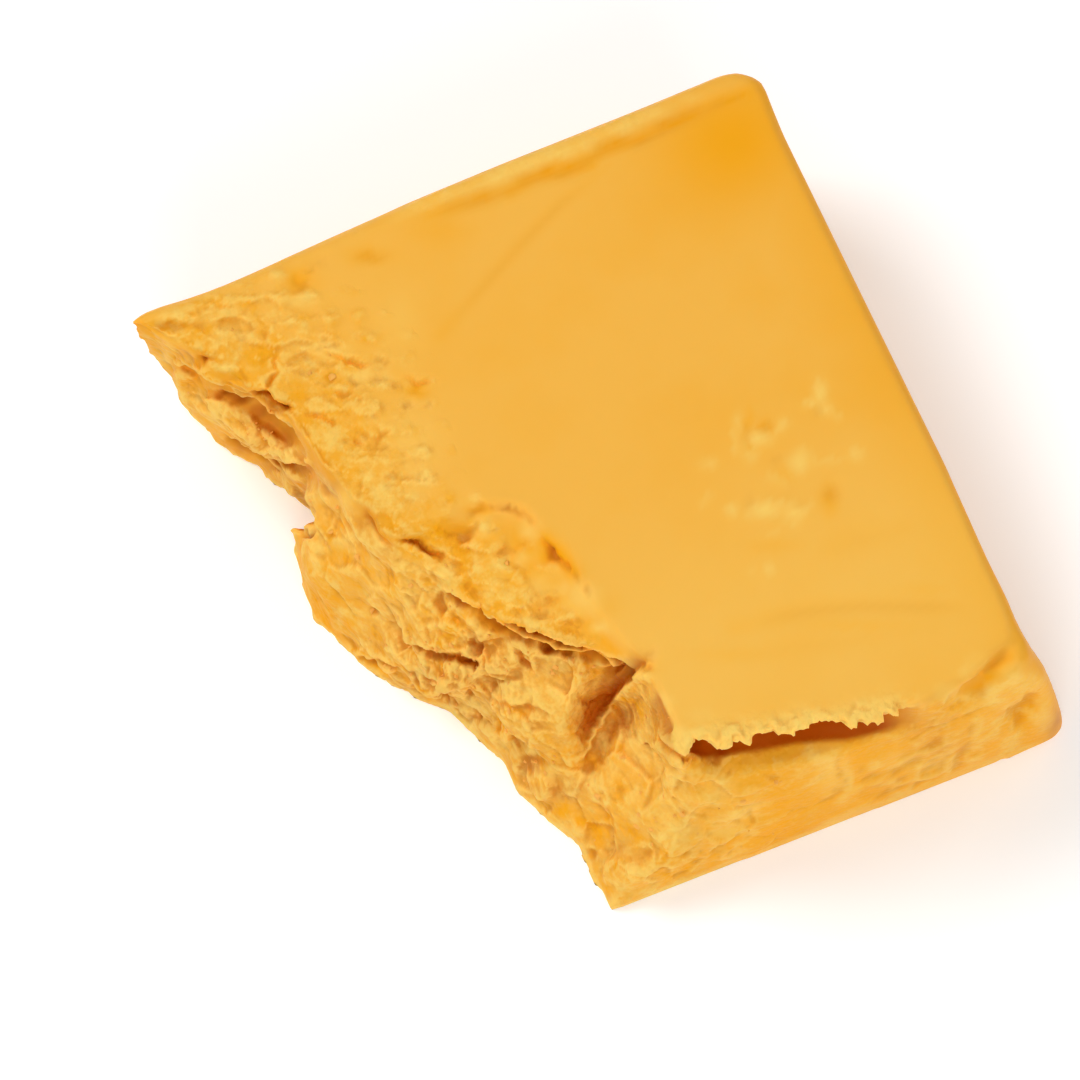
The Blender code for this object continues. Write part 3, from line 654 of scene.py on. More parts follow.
def face_roughness(points):
    """How crumbly the broken face is at each vertex."""
    y, z = points[:, 1], points[:, 2]
    rough = 0.55 + 0.5 * bell(y + 9.0, 6.0, z - 12.0, 9.0)
    rough += 0.25 * bell(y - 21.0, 6.0, z - 20.0, 5.0)
    rough -= 0.32 * bell(y - 6.0, 6.0, z - 6.0, 8.0)
    rough -= 0.15 * bell(y + 31.0, 6.0, z - 8.0, 9.0)
    return rough * mix(0.4, 1.0, ease(0.0, 3.5, z))


def marks_on_top(points):
    """Furrows, dents and lifted scales of the top, as a height at each vertex."""
    height = np.zeros(len(points))
    upper = ease(16.0, 20.0, points[:, 2])
    for line, half_width, depth in FURROWS.values():
        gap, _, along = line_gap(points, line)
        height -= depth * bell(gap, half_width) * window((-0.1, 0.3, 0.7, 1.1), along) * upper
    for x, y, half_width, depth in DENTS:
        height -= depth * bell(points[:, 0] - x, half_width, points[:, 1] - y, half_width) * upper
    for x, y, length, breadth, turn, strength in SCALES:
        height += SCALE_HEIGHT * strength * scale_form(points, x, y, length, breadth, turn) * upper
    return height


def valley_shade_share(places):
    """Share of the painted shade on the valley's floor, along the foot of its overhanging wall."""
    unit = picture_unit()
    gap, side, along = line_gap(places, VALLEY_WALL)
    floor = bell(gap * unit - 0.3, 1.3) * ease(-0.3, 0.3, -side * unit)
    return VALLEY_SHADE * floor * window((-0.1, 0.15, 0.7, 1.0), along)


def wander(places):
    """A small sideways shift of the marks, so that no line runs straight."""
    shift = np.zeros_like(places)
    for number, (across, down) in enumerate(places):
        point = Vector((across / 11.0, down / 11.0, 4.4))
        shift[number] = noise.noise(point) * 3.4, noise.noise(point.zxy * 1.3) * 3.4
    return places + shift


def marks_in_picture(places):
    """Cracks, ledges and the valley, as a height at each place on the picture plane."""
    unit = picture_unit()
    height = np.zeros(len(places))
    for strength, cracks in CRACKS.values():
        for line, half_width, depth in cracks:
            gap, side, along = line_gap(places, line)
            taper = window((-0.1, 0.35, 0.65, 1.1), along)
            height -= strength * depth * taper * bell(gap * unit, half_width * (0.45 + 0.4 * taper))
    for line, cut, half_width, lift in LEDGES:
        gap, side, along = line_gap(places, line)
        gap, side = gap * unit, side * unit
        height -= cut * bell(gap, half_width * 1.6) * ease(0.2, -0.15, side)
        height += lift * bell(gap, 1.3) * ease(-0.15, 0.15, side)
    gap, side, along = line_gap(places, VALLEY_WALL)
    gap, side = gap * unit, side * unit
    height -= VALLEY_CUT * bell(gap, VALLEY_WIDTH) * ease(-0.1, 0.3, -side) * ease(1.1, 0.5, along)
    height += 0.4 * bell(gap, 1.2) * ease(0.1, -0.2, -side)
    for across, down, half_width, half_height, depth in HOLLOWS:
        height -= depth * bell(places[:, 0] - across, half_width, places[:, 1] - down, half_height)
    return height


def folds(places):
    """Depth of the soft folds and the share of richer tone and painted shade in them, at each place on the
    picture plane.
    """
    unit = picture_unit()
    depth = np.zeros(len(places))
    tone = np.zeros(len(places))
    for line, half_width, deep, rich_tone_and_shade in FOLDS:
        gap, _, along = line_gap(places, line)
        share = bell(gap * unit, half_width) * window((-0.2, 0.3, 0.7, 1.2), along)
        depth = np.maximum(depth, deep * share)
        tone = np.maximum(tone, rich_tone_and_shade * share)
    return depth, tone


def spots(places, listed):
    """Soft spots of a tone on the picture plane."""
    share = np.zeros(len(places))
    for across, down, half_width, half_height, strength in listed:
        spot = bell(places[:, 0] - across, half_width, places[:, 1] - down, half_height)
        share = np.maximum(share, strength * spot)
    return share


def nudge(points, places):
    """Points shifted level with the table to correct the outline."""
    right = picture_right()
    up = np.array((-right[1], right[0], 0.0))
    for (across, down), radius, shift, rise in NUDGES:
        share = bell(places[:, 0] - across, radius, places[:, 1] - down, radius)
        points = points + share[:, None] * (right * shift + up * rise)
    return points


def scale_form(points, x, y, length, breadth, turn):
    """A thin scale that rises slowly along its breadth and ends in a ragged step."""
    angle = math.radians(turn)
    dx, dy = points[:, 0] - x, points[:, 1] - y
    along = (dx * math.cos(angle) + dy * math.sin(angle)) / length
    across = (dy * math.cos(angle) - dx * math.sin(angle)) / breadth
    body = ease(1.3, 0.7, np.abs(along))
    return body * ease(-1.4, 0.7, across) * ease(1.0, 0.75, across)


def north_band(points):
    """The narrow raised band along the top's north edge, with its small bump."""
    x, y = points[:, 0], points[:, 1]
    return 0.16 * ease(31.9, 33.4, y) * ease(0.0, 12.0, x) + 0.25 * bell(x - 3.5, 2.2, y - 34.6, 1.2)


class CheddarBreakSettings(bpy.types.PropertyGroup):
    """Sizes of the block's skin and of its breakage."""

    skin_cell: bpy.props.FloatProperty(
        name="Skin cell", description="Grid size of the smooth faces", default=0.00055, unit="LENGTH",
        subtype="DISTANCE", precision=5,
    )
    chip_size: bpy.props.FloatProperty(
        name="Chip size", description="Size of the chips on the broken face", default=0.0034, unit="LENGTH",
        subtype="DISTANCE", precision=5,
    )
    flake_size: bpy.props.FloatProperty(
        name="Flake size", description="Breadth of the flakes on the rough top", default=0.0027,
        unit="LENGTH", subtype="DISTANCE", precision=5,
    )
    chip_height: bpy.props.FloatProperty(
        name="Chip height", description="Share of the full relief on the broken face", default=0.85,
        subtype="FACTOR", min=0.0, max=1.5,
    )
    mark_depth: bpy.props.FloatProperty(
        name="Mark depth", description="Share of the full depth of cracks and ledges", default=1.0,
        subtype="FACTOR", min=0.0, max=2.0,
    )
    flake_height: bpy.props.FloatProperty(
        name="Flake height", description="Share of the full relief on the rough top", default=0.85,
        subtype="FACTOR", min=0.0, max=1.5,
    )


class CheddarColourSettings(bpy.types.PropertyGroup):
    """Colours of the cheese, and of the shade and highlight painted on it."""

    main: bpy.props.FloatVectorProperty(
        name="Cheese", description="Colour of the smooth faces", default=(0.935, 0.478, 0.068),
        subtype="COLOR", size=3, min=0.0, max=1.0,
    )
    # Rich tone of the cheese in blotches, flecks and along the edges, also laid as painted shade in grooves,
    # folds, hollows and on the side faces
    rich_tone_and_shade: bpy.props.FloatVectorProperty(
        name="Rich", description="Deeper colour of damp and shaded places", default=(0.93, 0.38, 0.0005),
        subtype="COLOR", size=3, min=0.0, max=1.0,
    )
    # Pale tone of dry crumbs, edges and flecks, also laid as painted highlight on crests and lit slopes
    pale: bpy.props.FloatVectorProperty(
        name="Pale", description="Colour of dry crumbs and edges", default=(0.98, 0.66, 0.150),
        subtype="COLOR", size=3, min=0.0, max=1.0,
    )
    # Painted shade, laid in hollows, cracks and shut-in places
    deep: bpy.props.FloatVectorProperty(
        name="Deep", description="Colour at the bottom of hollows", default=(0.50, 0.13, 0.003),
        subtype="COLOR", size=3, min=0.0, max=1.0,
    )
    # Painted shade in the broken face's recesses, the valley, under the lip and near its foot
    brown_shade: bpy.props.FloatVectorProperty(
        name="Brown", description="Colour of the darker recess in the broken face",
        default=(0.66, 0.24, 0.034),
        subtype="COLOR", size=3, min=0.0, max=1.0,
    )
    # Painted shade under the lip and on the valley's floor
    under: bpy.props.FloatVectorProperty(
        name="Under the lip", description="Colour of the moist cheese under the lip",
        default=(0.50, 0.088, 0.0004),
        subtype="COLOR", size=3, min=0.0, max=1.0,
    )


class CheddarCrumbSettings(bpy.types.PropertyGroup):
    """Sizes and number of the clinging crumbs."""

    count: bpy.props.IntProperty(
        name="Crumbs", description="Number of crumbs that cling to the broken face", default=130, min=0,
    )
    smallest: bpy.props.FloatProperty(
        name="Smallest", description="Width of the smallest crumb", default=0.00025, unit="LENGTH",
        subtype="DISTANCE", precision=5,
    )
    largest: bpy.props.FloatProperty(
        name="Largest", description="Width of the largest crumb", default=0.0008, unit="LENGTH",
        subtype="DISTANCE", precision=5,
    )


class CheddarStageSettings(bpy.types.PropertyGroup):
    """Floor, light and camera."""

    lens: bpy.props.FloatProperty(
        name="Lens", description="Focal length", default=160.0, unit="CAMERA", min=20.0,
    )
    distance: bpy.props.FloatProperty(
        name="Distance", description="Camera's distance from the block", default=0.50112, unit="LENGTH",
        subtype="DISTANCE",
    )
    elevation: bpy.props.FloatProperty(
        name="Elevation", description="Camera's angle above the table", default=math.radians(72.0),
        unit="ROTATION", subtype="ANGLE",
    )
    azimuth: bpy.props.FloatProperty(
        name="Azimuth", description="Camera's turn round the block", default=math.radians(-23.65),
        unit="ROTATION", subtype="ANGLE",
    )
    floor_colour: bpy.props.FloatVectorProperty(
        name="Floor", description="Colour of the floor", default=(0.93, 0.93, 0.93), subtype="COLOR", size=3,
        min=0.0, max=1.0,
    )


# The block's piece

def copy_of_node():
    """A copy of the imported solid's mesh as a piece of its own, with its loose triangles joined."""
    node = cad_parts[NODE]
    mesh = node.data.copy()
    mesh.name = "broken_block"
    mesh.materials.clear()
    piece = bpy.data.objects.new("broken_block", mesh)
    bpy.context.scene.collection.objects.link(piece)
    make_active(piece)
    bpy.ops.object.mode_set(mode="EDIT")
    bpy.ops.mesh.select_all(action="SELECT")
    bpy.ops.mesh.remove_doubles(threshold=0.000001)
    bpy.ops.object.mode_set(mode="OBJECT")
    return piece


def refine_break(piece):
    """A finer grid on the broken face, the rough top and the lip."""
    mesh = piece.data
    centres = face_centres(mesh)
    x, y, z = centres.T
    near_face = rim_gap(centres) < 1.2
    rough = (rough_top_share(centres) > 0.0) & (z > 20.0)
    lip = (lip_gap(centres) < 2.8) & (x < 31.0) & (z > 17.0)
    south = (lip_gap(centres) < 0.0) & (x < 16.0)
    chosen = (near_face | rough | lip | south) & (z > 0.4) & (y < 34.2)
    select_faces(mesh, chosen)
    make_active(piece)
    bpy.ops.object.mode_set(mode="EDIT")
    bpy.ops.mesh.subdivide(number_cuts=1)
    bpy.ops.object.mode_set(mode="OBJECT")


def even_out(piece):
    """Facets of the solid smoothed away, most of all on the smooth faces."""
    mesh = piece.data
    edges = read_edges(mesh)
    points = read_points(mesh)
    shares = surface_shares(points, read_normals(mesh))
    rough = np.maximum.reduce([shares["broken"], shares["rough_top"], shares["south"]])
    lip = bell(lip_gap(points), 1.6) * ease(32.0, 26.0, points[:, 0]) * ease(24.0, 26.0, points[:, 2])
    keep = np.clip(np.maximum(rough, lip), 0.0, 1.0)[:, None]
    lightly = neighbour_mean(points, edges, 1)
    strongly = neighbour_mean(points, edges, 9)
    moved = mix(strongly, lightly, keep)
    corner = bell(lip_gap(points), 3.5) * window((25.0, 33.0, 40.0, 44.0), points[:, 0])
    corner *= ease(20.0, 25.0, points[:, 2])
    moved = mix(moved, neighbour_mean(strongly, edges, 60), corner[:, None])
    flat = shares["top"] * ease(0.05, 0.0, shares["share"]) * ease(27.4, 27.8, moved[:, 2]) * (1.0 - corner)
    moved[:, 2] = mix(moved[:, 2], THICK, flat)
    write_points(mesh, moved)


def rag_lip(points):
    """Ragged teeth along the broken lip's edge, as a shift to the north."""
    x, _, z = points.T
    at_lip = ease(26.0, 26.7, z) * window((1.5, 3.5, 23.0, 27.0), x) * ease(2.2, 0.0, lip_gap(points))
    shift = np.zeros(len(points))
    for number in np.nonzero(at_lip > 0.01)[0]:
        place = float(x[number])
        tooth = noise.noise(Vector((place * 0.42, 2.3, 0.0)))
        tooth += 0.75 * noise.cell(Vector((place * 1.15 + 0.2 * z[number], 7.1, 0.0))) - 0.35
        tooth += 0.5 * noise.noise(Vector((place * 1.9, 5.7, z[number] * 0.7)))
        shift[number] = 0.62 * tooth
    return shift * at_lip


def rough_up(piece, settings):
    """Chips, flakes, marks and the ragged lip worked into the skin."""
    mesh = piece.data
    points = read_points(mesh)
    normals = read_normals(mesh)
    shares = surface_shares(points, normals)
    face = face_roughness(points) * settings.chip_height
    height = np.zeros(len(points))
    for number in np.nonzero(shares["broken"] > 0.01)[0]:
        height[number] += shares["broken"][number] * crumbly(Vector(points[number]), face[number], settings)
    flakes = shares["rough_top"] * settings.flake_height
    for number in np.nonzero(flakes > 0.01)[0]:
        point = Vector(points[number])
        amount = flakes[number] * (0.75 + 0.9 * noise.noise(point / 5.0 + SEED))
        height[number] += flaky(point, amount, settings)
    east = points[:, 0]
    strip = shares["south"] * (0.1 + 0.35 * ease(15.0, 3.0, east) + 0.3 * bell(east - 28.5, 4.5))
    for number in np.nonzero(strip > 0.01)[0]:
        height[number] += crumbly(Vector(points[number]), strip[number], settings)
    near_lip = near_lip_share(points)
    for number in np.nonzero(near_lip > 0.02)[0]:
        point = Vector(points[number])
        flakes_here = chip(point, 1.5, TOP_GRAIN, 1.2, 0.5, 0.4)
        flakes_here += 0.5 * chip(point, 0.8, TOP_GRAIN, 1.0, 0.5, 0.4)
        height[number] += 0.6 * near_lip[number] * flakes_here
    height += marks_on_top(points) + north_band(points) * shares["top"]
    places = wander(picture_place(points))
    seen = ease(0.05, 0.35, facing(normals))
    marks = marks_in_picture(places) * seen * ease(0.3, 2.0, points[:, 2])
    # Painted shade in the cracks, ledges, hollows and along the valley's wall, by their depth
    write_values(mesh, "mark_shade", ease(0.1, 0.85, -marks))
    height -= folds(places)[0] * seen
    height *= ease(0.0, 0.6, points[:, 2])
    moved = points + normals * (height + settings.mark_depth * marks)[:, None]
    moved[:, 2] += 0.5 * settings.mark_depth * marks
    moved[:, 1] += rag_lip(points)
    moved = nudge(moved, places)
    write_points(mesh, straight_foot(moved))


def straight_foot(points):
    """The south face's foot brought onto its straight line on the table."""
    x, y, z = points.T
    line = SOUTH_FOOT_Y + SOUTH_SLANT * (x - SOUTH_FOOT_X)
    share = ease(3.5, 0.0, z) * ease(2.0, 0.8, np.abs(y - line)) * window((-8.4, -7.4, 36.0, 38.0), x)
    points[:, 1] = mix(y, line + 0.1 * z, 0.85 * share)
    return points


def settle_base(piece):
    """Flat base on the table, made of one face cut into triangles."""
    mesh = piece.data
    points = read_points(mesh)
    low = points[:, 2] < 0.3
    points[low, 2] = 0.0
    points[:, 2] = np.maximum(points[:, 2], 0.0)
    write_points(mesh, points)
    shape = bmesh.new()
    shape.from_mesh(mesh)
    floor_faces = [face for face in shape.faces if all(vert.co.z <= 1e-7 for vert in face.verts)]
    bmesh.ops.delete(shape, geom=floor_faces, context="FACES")
    rim = [edge for edge in shape.edges if edge.is_boundary]
    filled = bmesh.ops.holes_fill(shape, edges=rim, sides=0)
    bmesh.ops.triangulate(shape, faces=filled["faces"])
    bmesh.ops.recalc_face_normals(shape, faces=shape.faces[:])
    shape.to_mesh(mesh)
    shape.free()


def keep_in_box(piece):
    """No point stands outside the solid's box."""
    mesh = piece.data
    points = read_points(mesh)
    low = (np.array(CAD_BOX[0]) - np.array(plan_origin())) / MM
    high = (np.array(CAD_BOX[1]) - np.array(plan_origin())) / MM
    points = np.clip(points, low - 0.25, high + 0.25)
    points[:, 2] = np.maximum(points[:, 2], 0.0)
    write_points(mesh, points)


def write_values(mesh, name, values):
    """A value for each vertex, which the material reads."""
    layer = mesh.attributes.new(name, "FLOAT", "POINT")
    layer.data.foreach_set("value", np.clip(values, 0.0, 1.0).astype(np.float32))


def colour_shares(piece):
    """Where the cheese is hollow or crested, broken, or richer or paler in tone, and where shade and
    highlight are painted on it, written on its vertices.
    """
    mesh = piece.data
    edges = read_edges(mesh)
    points = read_points(mesh)
    normals = read_normals(mesh)
    shares = surface_shares(points, neighbour_mean(normals, edges, 6))
    x, y, z = points.T
    fine = ((neighbour_mean(points, edges, 6) - points) * normals).sum(1)
    wide = ((neighbour_mean(points, edges, 40) - points) * normals).sum(1)
    bend = fine / 0.05 + wide / 0.4
    by_north = 0.5 * ease(32.9, 33.8, y) * window((-4.0, 4.0, 24.0, 32.0), x) * ease(27.3, 27.7, z)
    rough = np.maximum.reduce([
        shares["broken"], shares["rough_top"] * 0.9, shares["south"] * 0.6,
        near_lip_share(points) * 0.9, by_north,
    ])
    # Painted shade in hollows, where the surface bends in
    write_values(mesh, "hollow", neighbour_mean(ease(0.2, 1.6, bend), edges, 1) * mix(0.35, 1.0, rough))
    # Pale tone and painted highlight on crests, where the surface bends out
    write_values(mesh, "crest_tone_and_highlight", ease(-0.2, -1.5, bend) * rough)
    write_values(mesh, "rough", rough)
    places = wander(picture_place(points))
    # Painted shade where much cheese lies close round a vertex
    occlusion_shade = closed_in(piece, points, normals, shares)
    write_values(mesh, "occlusion_shade", occlusion_shade)
    seen = ease(-0.1, 0.15, facing(normals))
    # Painted brown shade in the recesses, the valley, under the lip and near the foot
    write_values(mesh, "brown_shade", seen * spots(places, BROWN_SHADE_SPOTS))
    # Painted shade under the lip and on the valley's floor
    under = window((0.5, 4.0, 22.0, 27.0), x) * ease(19.5, 21.5, z) * ease(27.3, 26.7, z)
    inside = ease(-0.3, 0.5, lip_gap(points)) * ease(7.5, 6.0, lip_gap(points))
    before = ease(-1.6, -0.2, lip_gap(points)) * ease(0.25, 0.6, occlusion_shade)
    deep = np.maximum(under * np.maximum(inside, before), valley_shade_share(places) * shares["broken"])
    write_values(mesh, "deep", deep)
    # Rich tone along the edges, and painted shade in grooves, folds, hollows and on the side faces
    tones = (rich_tone_and_shade_share(points, shares), seen * spots(places, ORANGE_TONE_AND_SHADE_SPOTS), seen * folds(places)[1])
    write_values(mesh, "rich_tone_and_shade", np.maximum.reduce(tones))
    # Pale tone of scales and the lip, a paler band over the top's southern part, and pale spots that are
    # partly painted highlight on lit slopes
    pale = np.zeros(len(points))
    for px, py, length, breadth, turn, strength in SCALES:
        pale = np.maximum(pale, scale_form(points, px, py, length, breadth, turn) * (0.2 + strength))
    lip = window((1.5, 4.0, 21.0, 27.0), x) * ease(26.6, 27.3, z) * ease(3.2, 0.4, lip_gap(points))
    near = 0.25 * bell(y + 24.0, 14.0) * shares["top"]
    pale = np.maximum.reduce([pale * shares["top"], 0.8 * lip, near, seen * spots(places, PALE_TONE_AND_HIGHLIGHT_SPOTS)])
    write_values(mesh, "pale", pale)


def closed_in(piece, points, normals, shares):
    """Share of directions from each vertex of the broken parts that meet cheese nearby, which sets the
    painted shade of places shut in.
    """
    mesh = piece.data
    corners = [vert.co for vert in mesh.vertices]
    tree = BVHTree.FromPolygons(corners, [face.vertices for face in mesh.polygons])
    origin = plan_origin()
    share = np.zeros(len(points))
    wanted = np.maximum.reduce([shares["broken"], shares["rough_top"], shares["south"]]) > 0.05
    rays = spread_rays(CLOSED_RAYS)
    for number in np.nonzero(wanted)[0]:
        up = Vector(normals[number])
        place = Vector(points[number]) * MM + origin + up * 0.08 * MM
        met = 0
        for ray in rays:
            way = (ray + up * 1.02).normalized()
            if tree.ray_cast(place, way, CLOSED_REACH * MM)[0] is not None:
                met += 1
        share[number] = met / CLOSED_RAYS
    return neighbour_mean(share, read_edges(mesh), 2)


def spread_rays(count):
    """Directions spread evenly over a ball."""
    rays = []
    for number in range(count):
        height = 1.0 - 2.0 * (number + 0.5) / count
        turn = number * math.pi * (3.0 - math.sqrt(5.0))
        flat = math.sqrt(1.0 - height * height)
        rays.append(Vector((flat * math.cos(turn), flat * math.sin(turn), height)))
    return rays


def rich_tone_and_shade_share(points, shares):
    """Where the smooth faces take a richer tone and painted shade: along the east and north edges and in the
    groove, and as painted shade on the side faces below the top.
    """
    x, y, z = points.T
    east = ease(30.5, 38.5, x) * 0.42
    corner = bell(x - 34.0, 9.0, y - 28.0, 8.0) * 0.9
    groove = np.zeros(len(points))
    for line, half_width, depth in FURROWS.values():
        gap, _, _ = line_gap(points, line)
        groove = np.maximum(groove, bell(gap, half_width * 1.3) * min(depth * 2.0, 1.0))
    band = ease(32.6, 33.6, y)
    whole = np.maximum.reduce([east, corner, groove]) * (1.0 - 0.7 * band)
    # Painted shade on the side faces below the top and on the east rim
    sides = ease(27.5, 25.5, z) * (1.0 - shares["broken"]) * mix(0.75, 0.66, shares["south"])
    sides = np.maximum(sides, 0.8 * ease(28.0, 27.4, z) * ease(36.0, 38.5, x))
    return np.maximum(whole * ease(25.0, 27.0, z), sides)


class CHEDDAR_OT_block(bpy.types.Operator):
    """Make the block's visible skin, with its chips, flakes, cracks and colours, painted shade and highlight
    among them
    """

    bl_idname = "cheddar.block"
    bl_label = "Block"

    def execute(self, context):
        settings = context.scene.cheddar_break
        piece = copy_of_node()
        apply_modifier(piece, "even skin", "REMESH", mode="VOXEL", voxel_size=settings.skin_cell)
        even_out(piece)
        refine_break(piece)
        rough_up(piece, settings)
        settle_base(piece)
        keep_in_box(piece)
        make_active(piece)
        bpy.ops.object.shade_smooth()
        colour_shares(piece)
        piece.data.materials.append(cheddar_material(context.scene.cheddar_colours))
        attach(piece, BODY)
        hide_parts(NODE)
        piece.data.calc_loop_triangles()
        print("block:", len(piece.data.loop_triangles), "triangles")
        return {"FINISHED"}


# Crumbs

def crumb_shape(chance):
    """A small angular crumb: a coarse ball, flattened and knocked about."""
    bpy.ops.mesh.primitive_ico_sphere_add(subdivisions=1, radius=0.5, location=(0.0, 0.0, 0.0))
    crumb = bpy.context.object
    stretch = Vector((chance.uniform(0.8, 1.4), chance.uniform(0.6, 1.0), chance.uniform(0.4, 0.8)))
    start = Vector((chance.uniform(0, 50), chance.uniform(0, 50), chance.uniform(0, 50)))
    for vert in crumb.data.vertices:
        push = 1.0 + 0.9 * noise.noise(vert.co * 2.2 + start)
        vert.co = vert.co * push * stretch
    return crumb


def crumb_places(piece, settings, chance):
    """Places on ledges and slopes of the broken face where crumbs cling, with the surface's direction."""
    mesh = piece.data
    points = read_points(mesh)
    normals = read_normals(mesh)
    shares = surface_shares(points, normals)
    y, z = points[:, 1], points[:, 2]
    slope = shares["broken"] * ease(0.1, 0.5, normals[:, 2]) * (0.25 + bell(y + 9.0, 7.0, z - 13.0, 9.0))
    slope += 0.5 * shares["broken"] * bell(y - 22.0, 6.0, z - 18.0, 6.0) * ease(0.0, 0.5, normals[:, 2])
    slope += 0.10 * shares["rough_top"] + 0.12 * shares["south"] * ease(16.0, 4.0, points[:, 0])
    slope *= ease(1.0, 2.5, z)
    total = np.cumsum(slope)
    picks = [int(np.searchsorted(total, chance.random() * total[-1])) for _ in range(settings.count)]
    return [(Vector(points[n]), Vector(normals[n])) for n in picks]


class CHEDDAR_OT_crumbs(bpy.types.Operator):
    """Scatter the small crumbs that cling to the broken face"""

    bl_idname = "cheddar.crumbs"
    bl_label = "Crumbs"

    def execute(self, context):
        settings = context.scene.cheddar_crumbs
        piece = bpy.data.objects["broken_block"]
        chance = random.Random(CRUMB_SEED)
        deselect_all()
        kinds = [crumb_shape(chance) for _ in range(CRUMB_KINDS)]
        shape = bmesh.new()
        for place, direction in crumb_places(piece, settings, chance):
            width = mix(settings.smallest, settings.largest, chance.random() ** CRUMB_SMALLNESS)
            turn = direction.to_track_quat("Z", "Y").to_matrix().to_4x4()
            turn = turn @ Matrix.Rotation(chance.uniform(0.0, math.tau), 4, "Z")
            spot = place * MM + plan_origin() + direction * width * CRUMB_LIFT
            before = len(shape.verts)
            shape.from_mesh(chance.choice(kinds).data)
            shape.verts.ensure_lookup_table()
            added = shape.verts[before:]
            matrix = Matrix.Translation(spot) @ turn @ Matrix.Scale(width, 4)
            bmesh.ops.transform(shape, matrix=matrix, verts=added)
        for kind in kinds:
            bpy.data.objects.remove(kind, do_unlink=True)
        mesh = bpy.data.meshes.new("clinging_crumbs")
        shape.to_mesh(mesh)
        shape.free()
        crumbs = bpy.data.objects.new("clinging_crumbs", mesh)
        context.scene.collection.objects.link(crumbs)
        make_active(crumbs)
        bpy.ops.object.shade_smooth_by_angle(angle=math.radians(25.0))
        count = len(mesh.vertices)
        write_values(mesh, "rough", np.ones(count))
        # A little pale tone and painted highlight all over the crumbs
        write_values(mesh, "crest_tone_and_highlight", np.full(count, 0.2))
        mesh.materials.append(bpy.data.materials["cheddar"])
        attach(crumbs, BODY)
        return {"FINISHED"}


# Material

def add_noise(nodes, scale, detail):
    """Noise texture of a scale and detail."""
    texture = nodes.new("ShaderNodeTexNoise")
    texture.inputs["Scale"].default_value = scale
    texture.inputs["Detail"].default_value = detail
    return texture


def add_sum(nodes, links, first, factor, second):
    """One value multiplied by a factor and added to another."""
    step = nodes.new("ShaderNodeMath")
    step.operation = "MULTIPLY_ADD"
    links.new(first, step.inputs[0])
    step.inputs[1].default_value = factor
    links.new(second, step.inputs[2])
    return step.outputs["Value"]


def grain_group():
    """Node group: fine height and soft blotches of cheese, from the object's own place."""
    group = bpy.data.node_groups.new("Cheese grain", "ShaderNodeTree")
    group.interface.new_socket("Place", in_out="INPUT", socket_type="NodeSocketVector")
    group.interface.new_socket("Rough", in_out="INPUT", socket_type="NodeSocketFloat")
    for name in ("Height", "Blotch", "Fleck"):
        group.interface.new_socket(name, in_out="OUTPUT", socket_type="NodeSocketFloat")
    nodes, links = group.nodes, group.links
    entry = nodes.new("NodeGroupInput")
    leave = nodes.new("NodeGroupOutput")
    crumbs = nodes.new("ShaderNodeTexVoronoi")
    crumbs.inputs["Scale"].default_value = CRUMB_SCALE
    grit, curd, skin, blotch, fleck = (add_noise(nodes, *values) for values in NOISES.values())
    fleck.inputs["Roughness"].default_value = 0.62
    for item in (crumbs, grit, curd, skin, blotch, fleck):
        links.new(entry.outputs["Place"], item.inputs["Vector"])
    broken = add_sum(nodes, links, grit.outputs["Fac"], 1.2, crumbs.outputs["Distance"])
    smooth = nodes.new("ShaderNodeMath")
    smooth.operation = "MULTIPLY"
    links.new(skin.outputs["Fac"], smooth.inputs[0])
    smooth.inputs[1].default_value = 0.12
    pick = nodes.new("ShaderNodeMix")
    pick.data_type = "FLOAT"
    links.new(entry.outputs["Rough"], pick.inputs["Factor"])
    links.new(smooth.outputs["Value"], pick.inputs["A"])
    links.new(broken, pick.inputs["B"])
    height = add_sum(nodes, links, curd.outputs["Fac"], 0.25, pick.outputs["Result"])
    links.new(height, leave.inputs["Height"])
    links.new(blotch.outputs["Fac"], leave.inputs["Blotch"])
    tone = add_sum(nodes, links, curd.outputs["Fac"], 0.6, fleck.outputs["Fac"])
    links.new(tone, leave.inputs["Fleck"])
    return group


def add_mask(nodes, name):
    """Reads one of the piece's own masks."""
    mask = nodes.new("ShaderNodeAttribute")
    mask.attribute_name = name
    return mask.outputs["Fac"]


def add_scaled(nodes, links, source, factor, shift=0.0):
    """A value multiplied and shifted, kept between 0 and 1."""
    step = nodes.new("ShaderNodeMath")
    step.operation = "MULTIPLY_ADD"
    step.use_clamp = True
    links.new(source, step.inputs[0])
    step.inputs[1].default_value = factor
    step.inputs[2].default_value = shift
    return step.outputs["Value"]


def add_product(nodes, links, first, second):
    """Two values multiplied."""
    step = nodes.new("ShaderNodeMath")
    step.operation = "MULTIPLY"
    links.new(first, step.inputs[0])
    links.new(second, step.inputs[1])
    return step.outputs["Value"]


def blend_colour(nodes, links, share, under, over):
    """Colour mixed from one to another by a share."""
    step = nodes.new("ShaderNodeMix")
    step.data_type = "RGBA"
    links.new(share, step.inputs["Factor"])
    if isinstance(under, tuple):
        step.inputs["A"].default_value = under
    else:
        links.new(under, step.inputs["A"])
    step.inputs["B"].default_value = over
    return step.outputs["Result"]


def lay_masks(nodes, links, colour, masks):
    """Colours laid over one another, each by one of the piece's masks, scaled and shifted."""
    for name, factor, shift, over in masks:
        share = add_scaled(nodes, links, add_mask(nodes, name), factor, shift)
        colour = blend_colour(nodes, links, share, colour, over)
    return colour


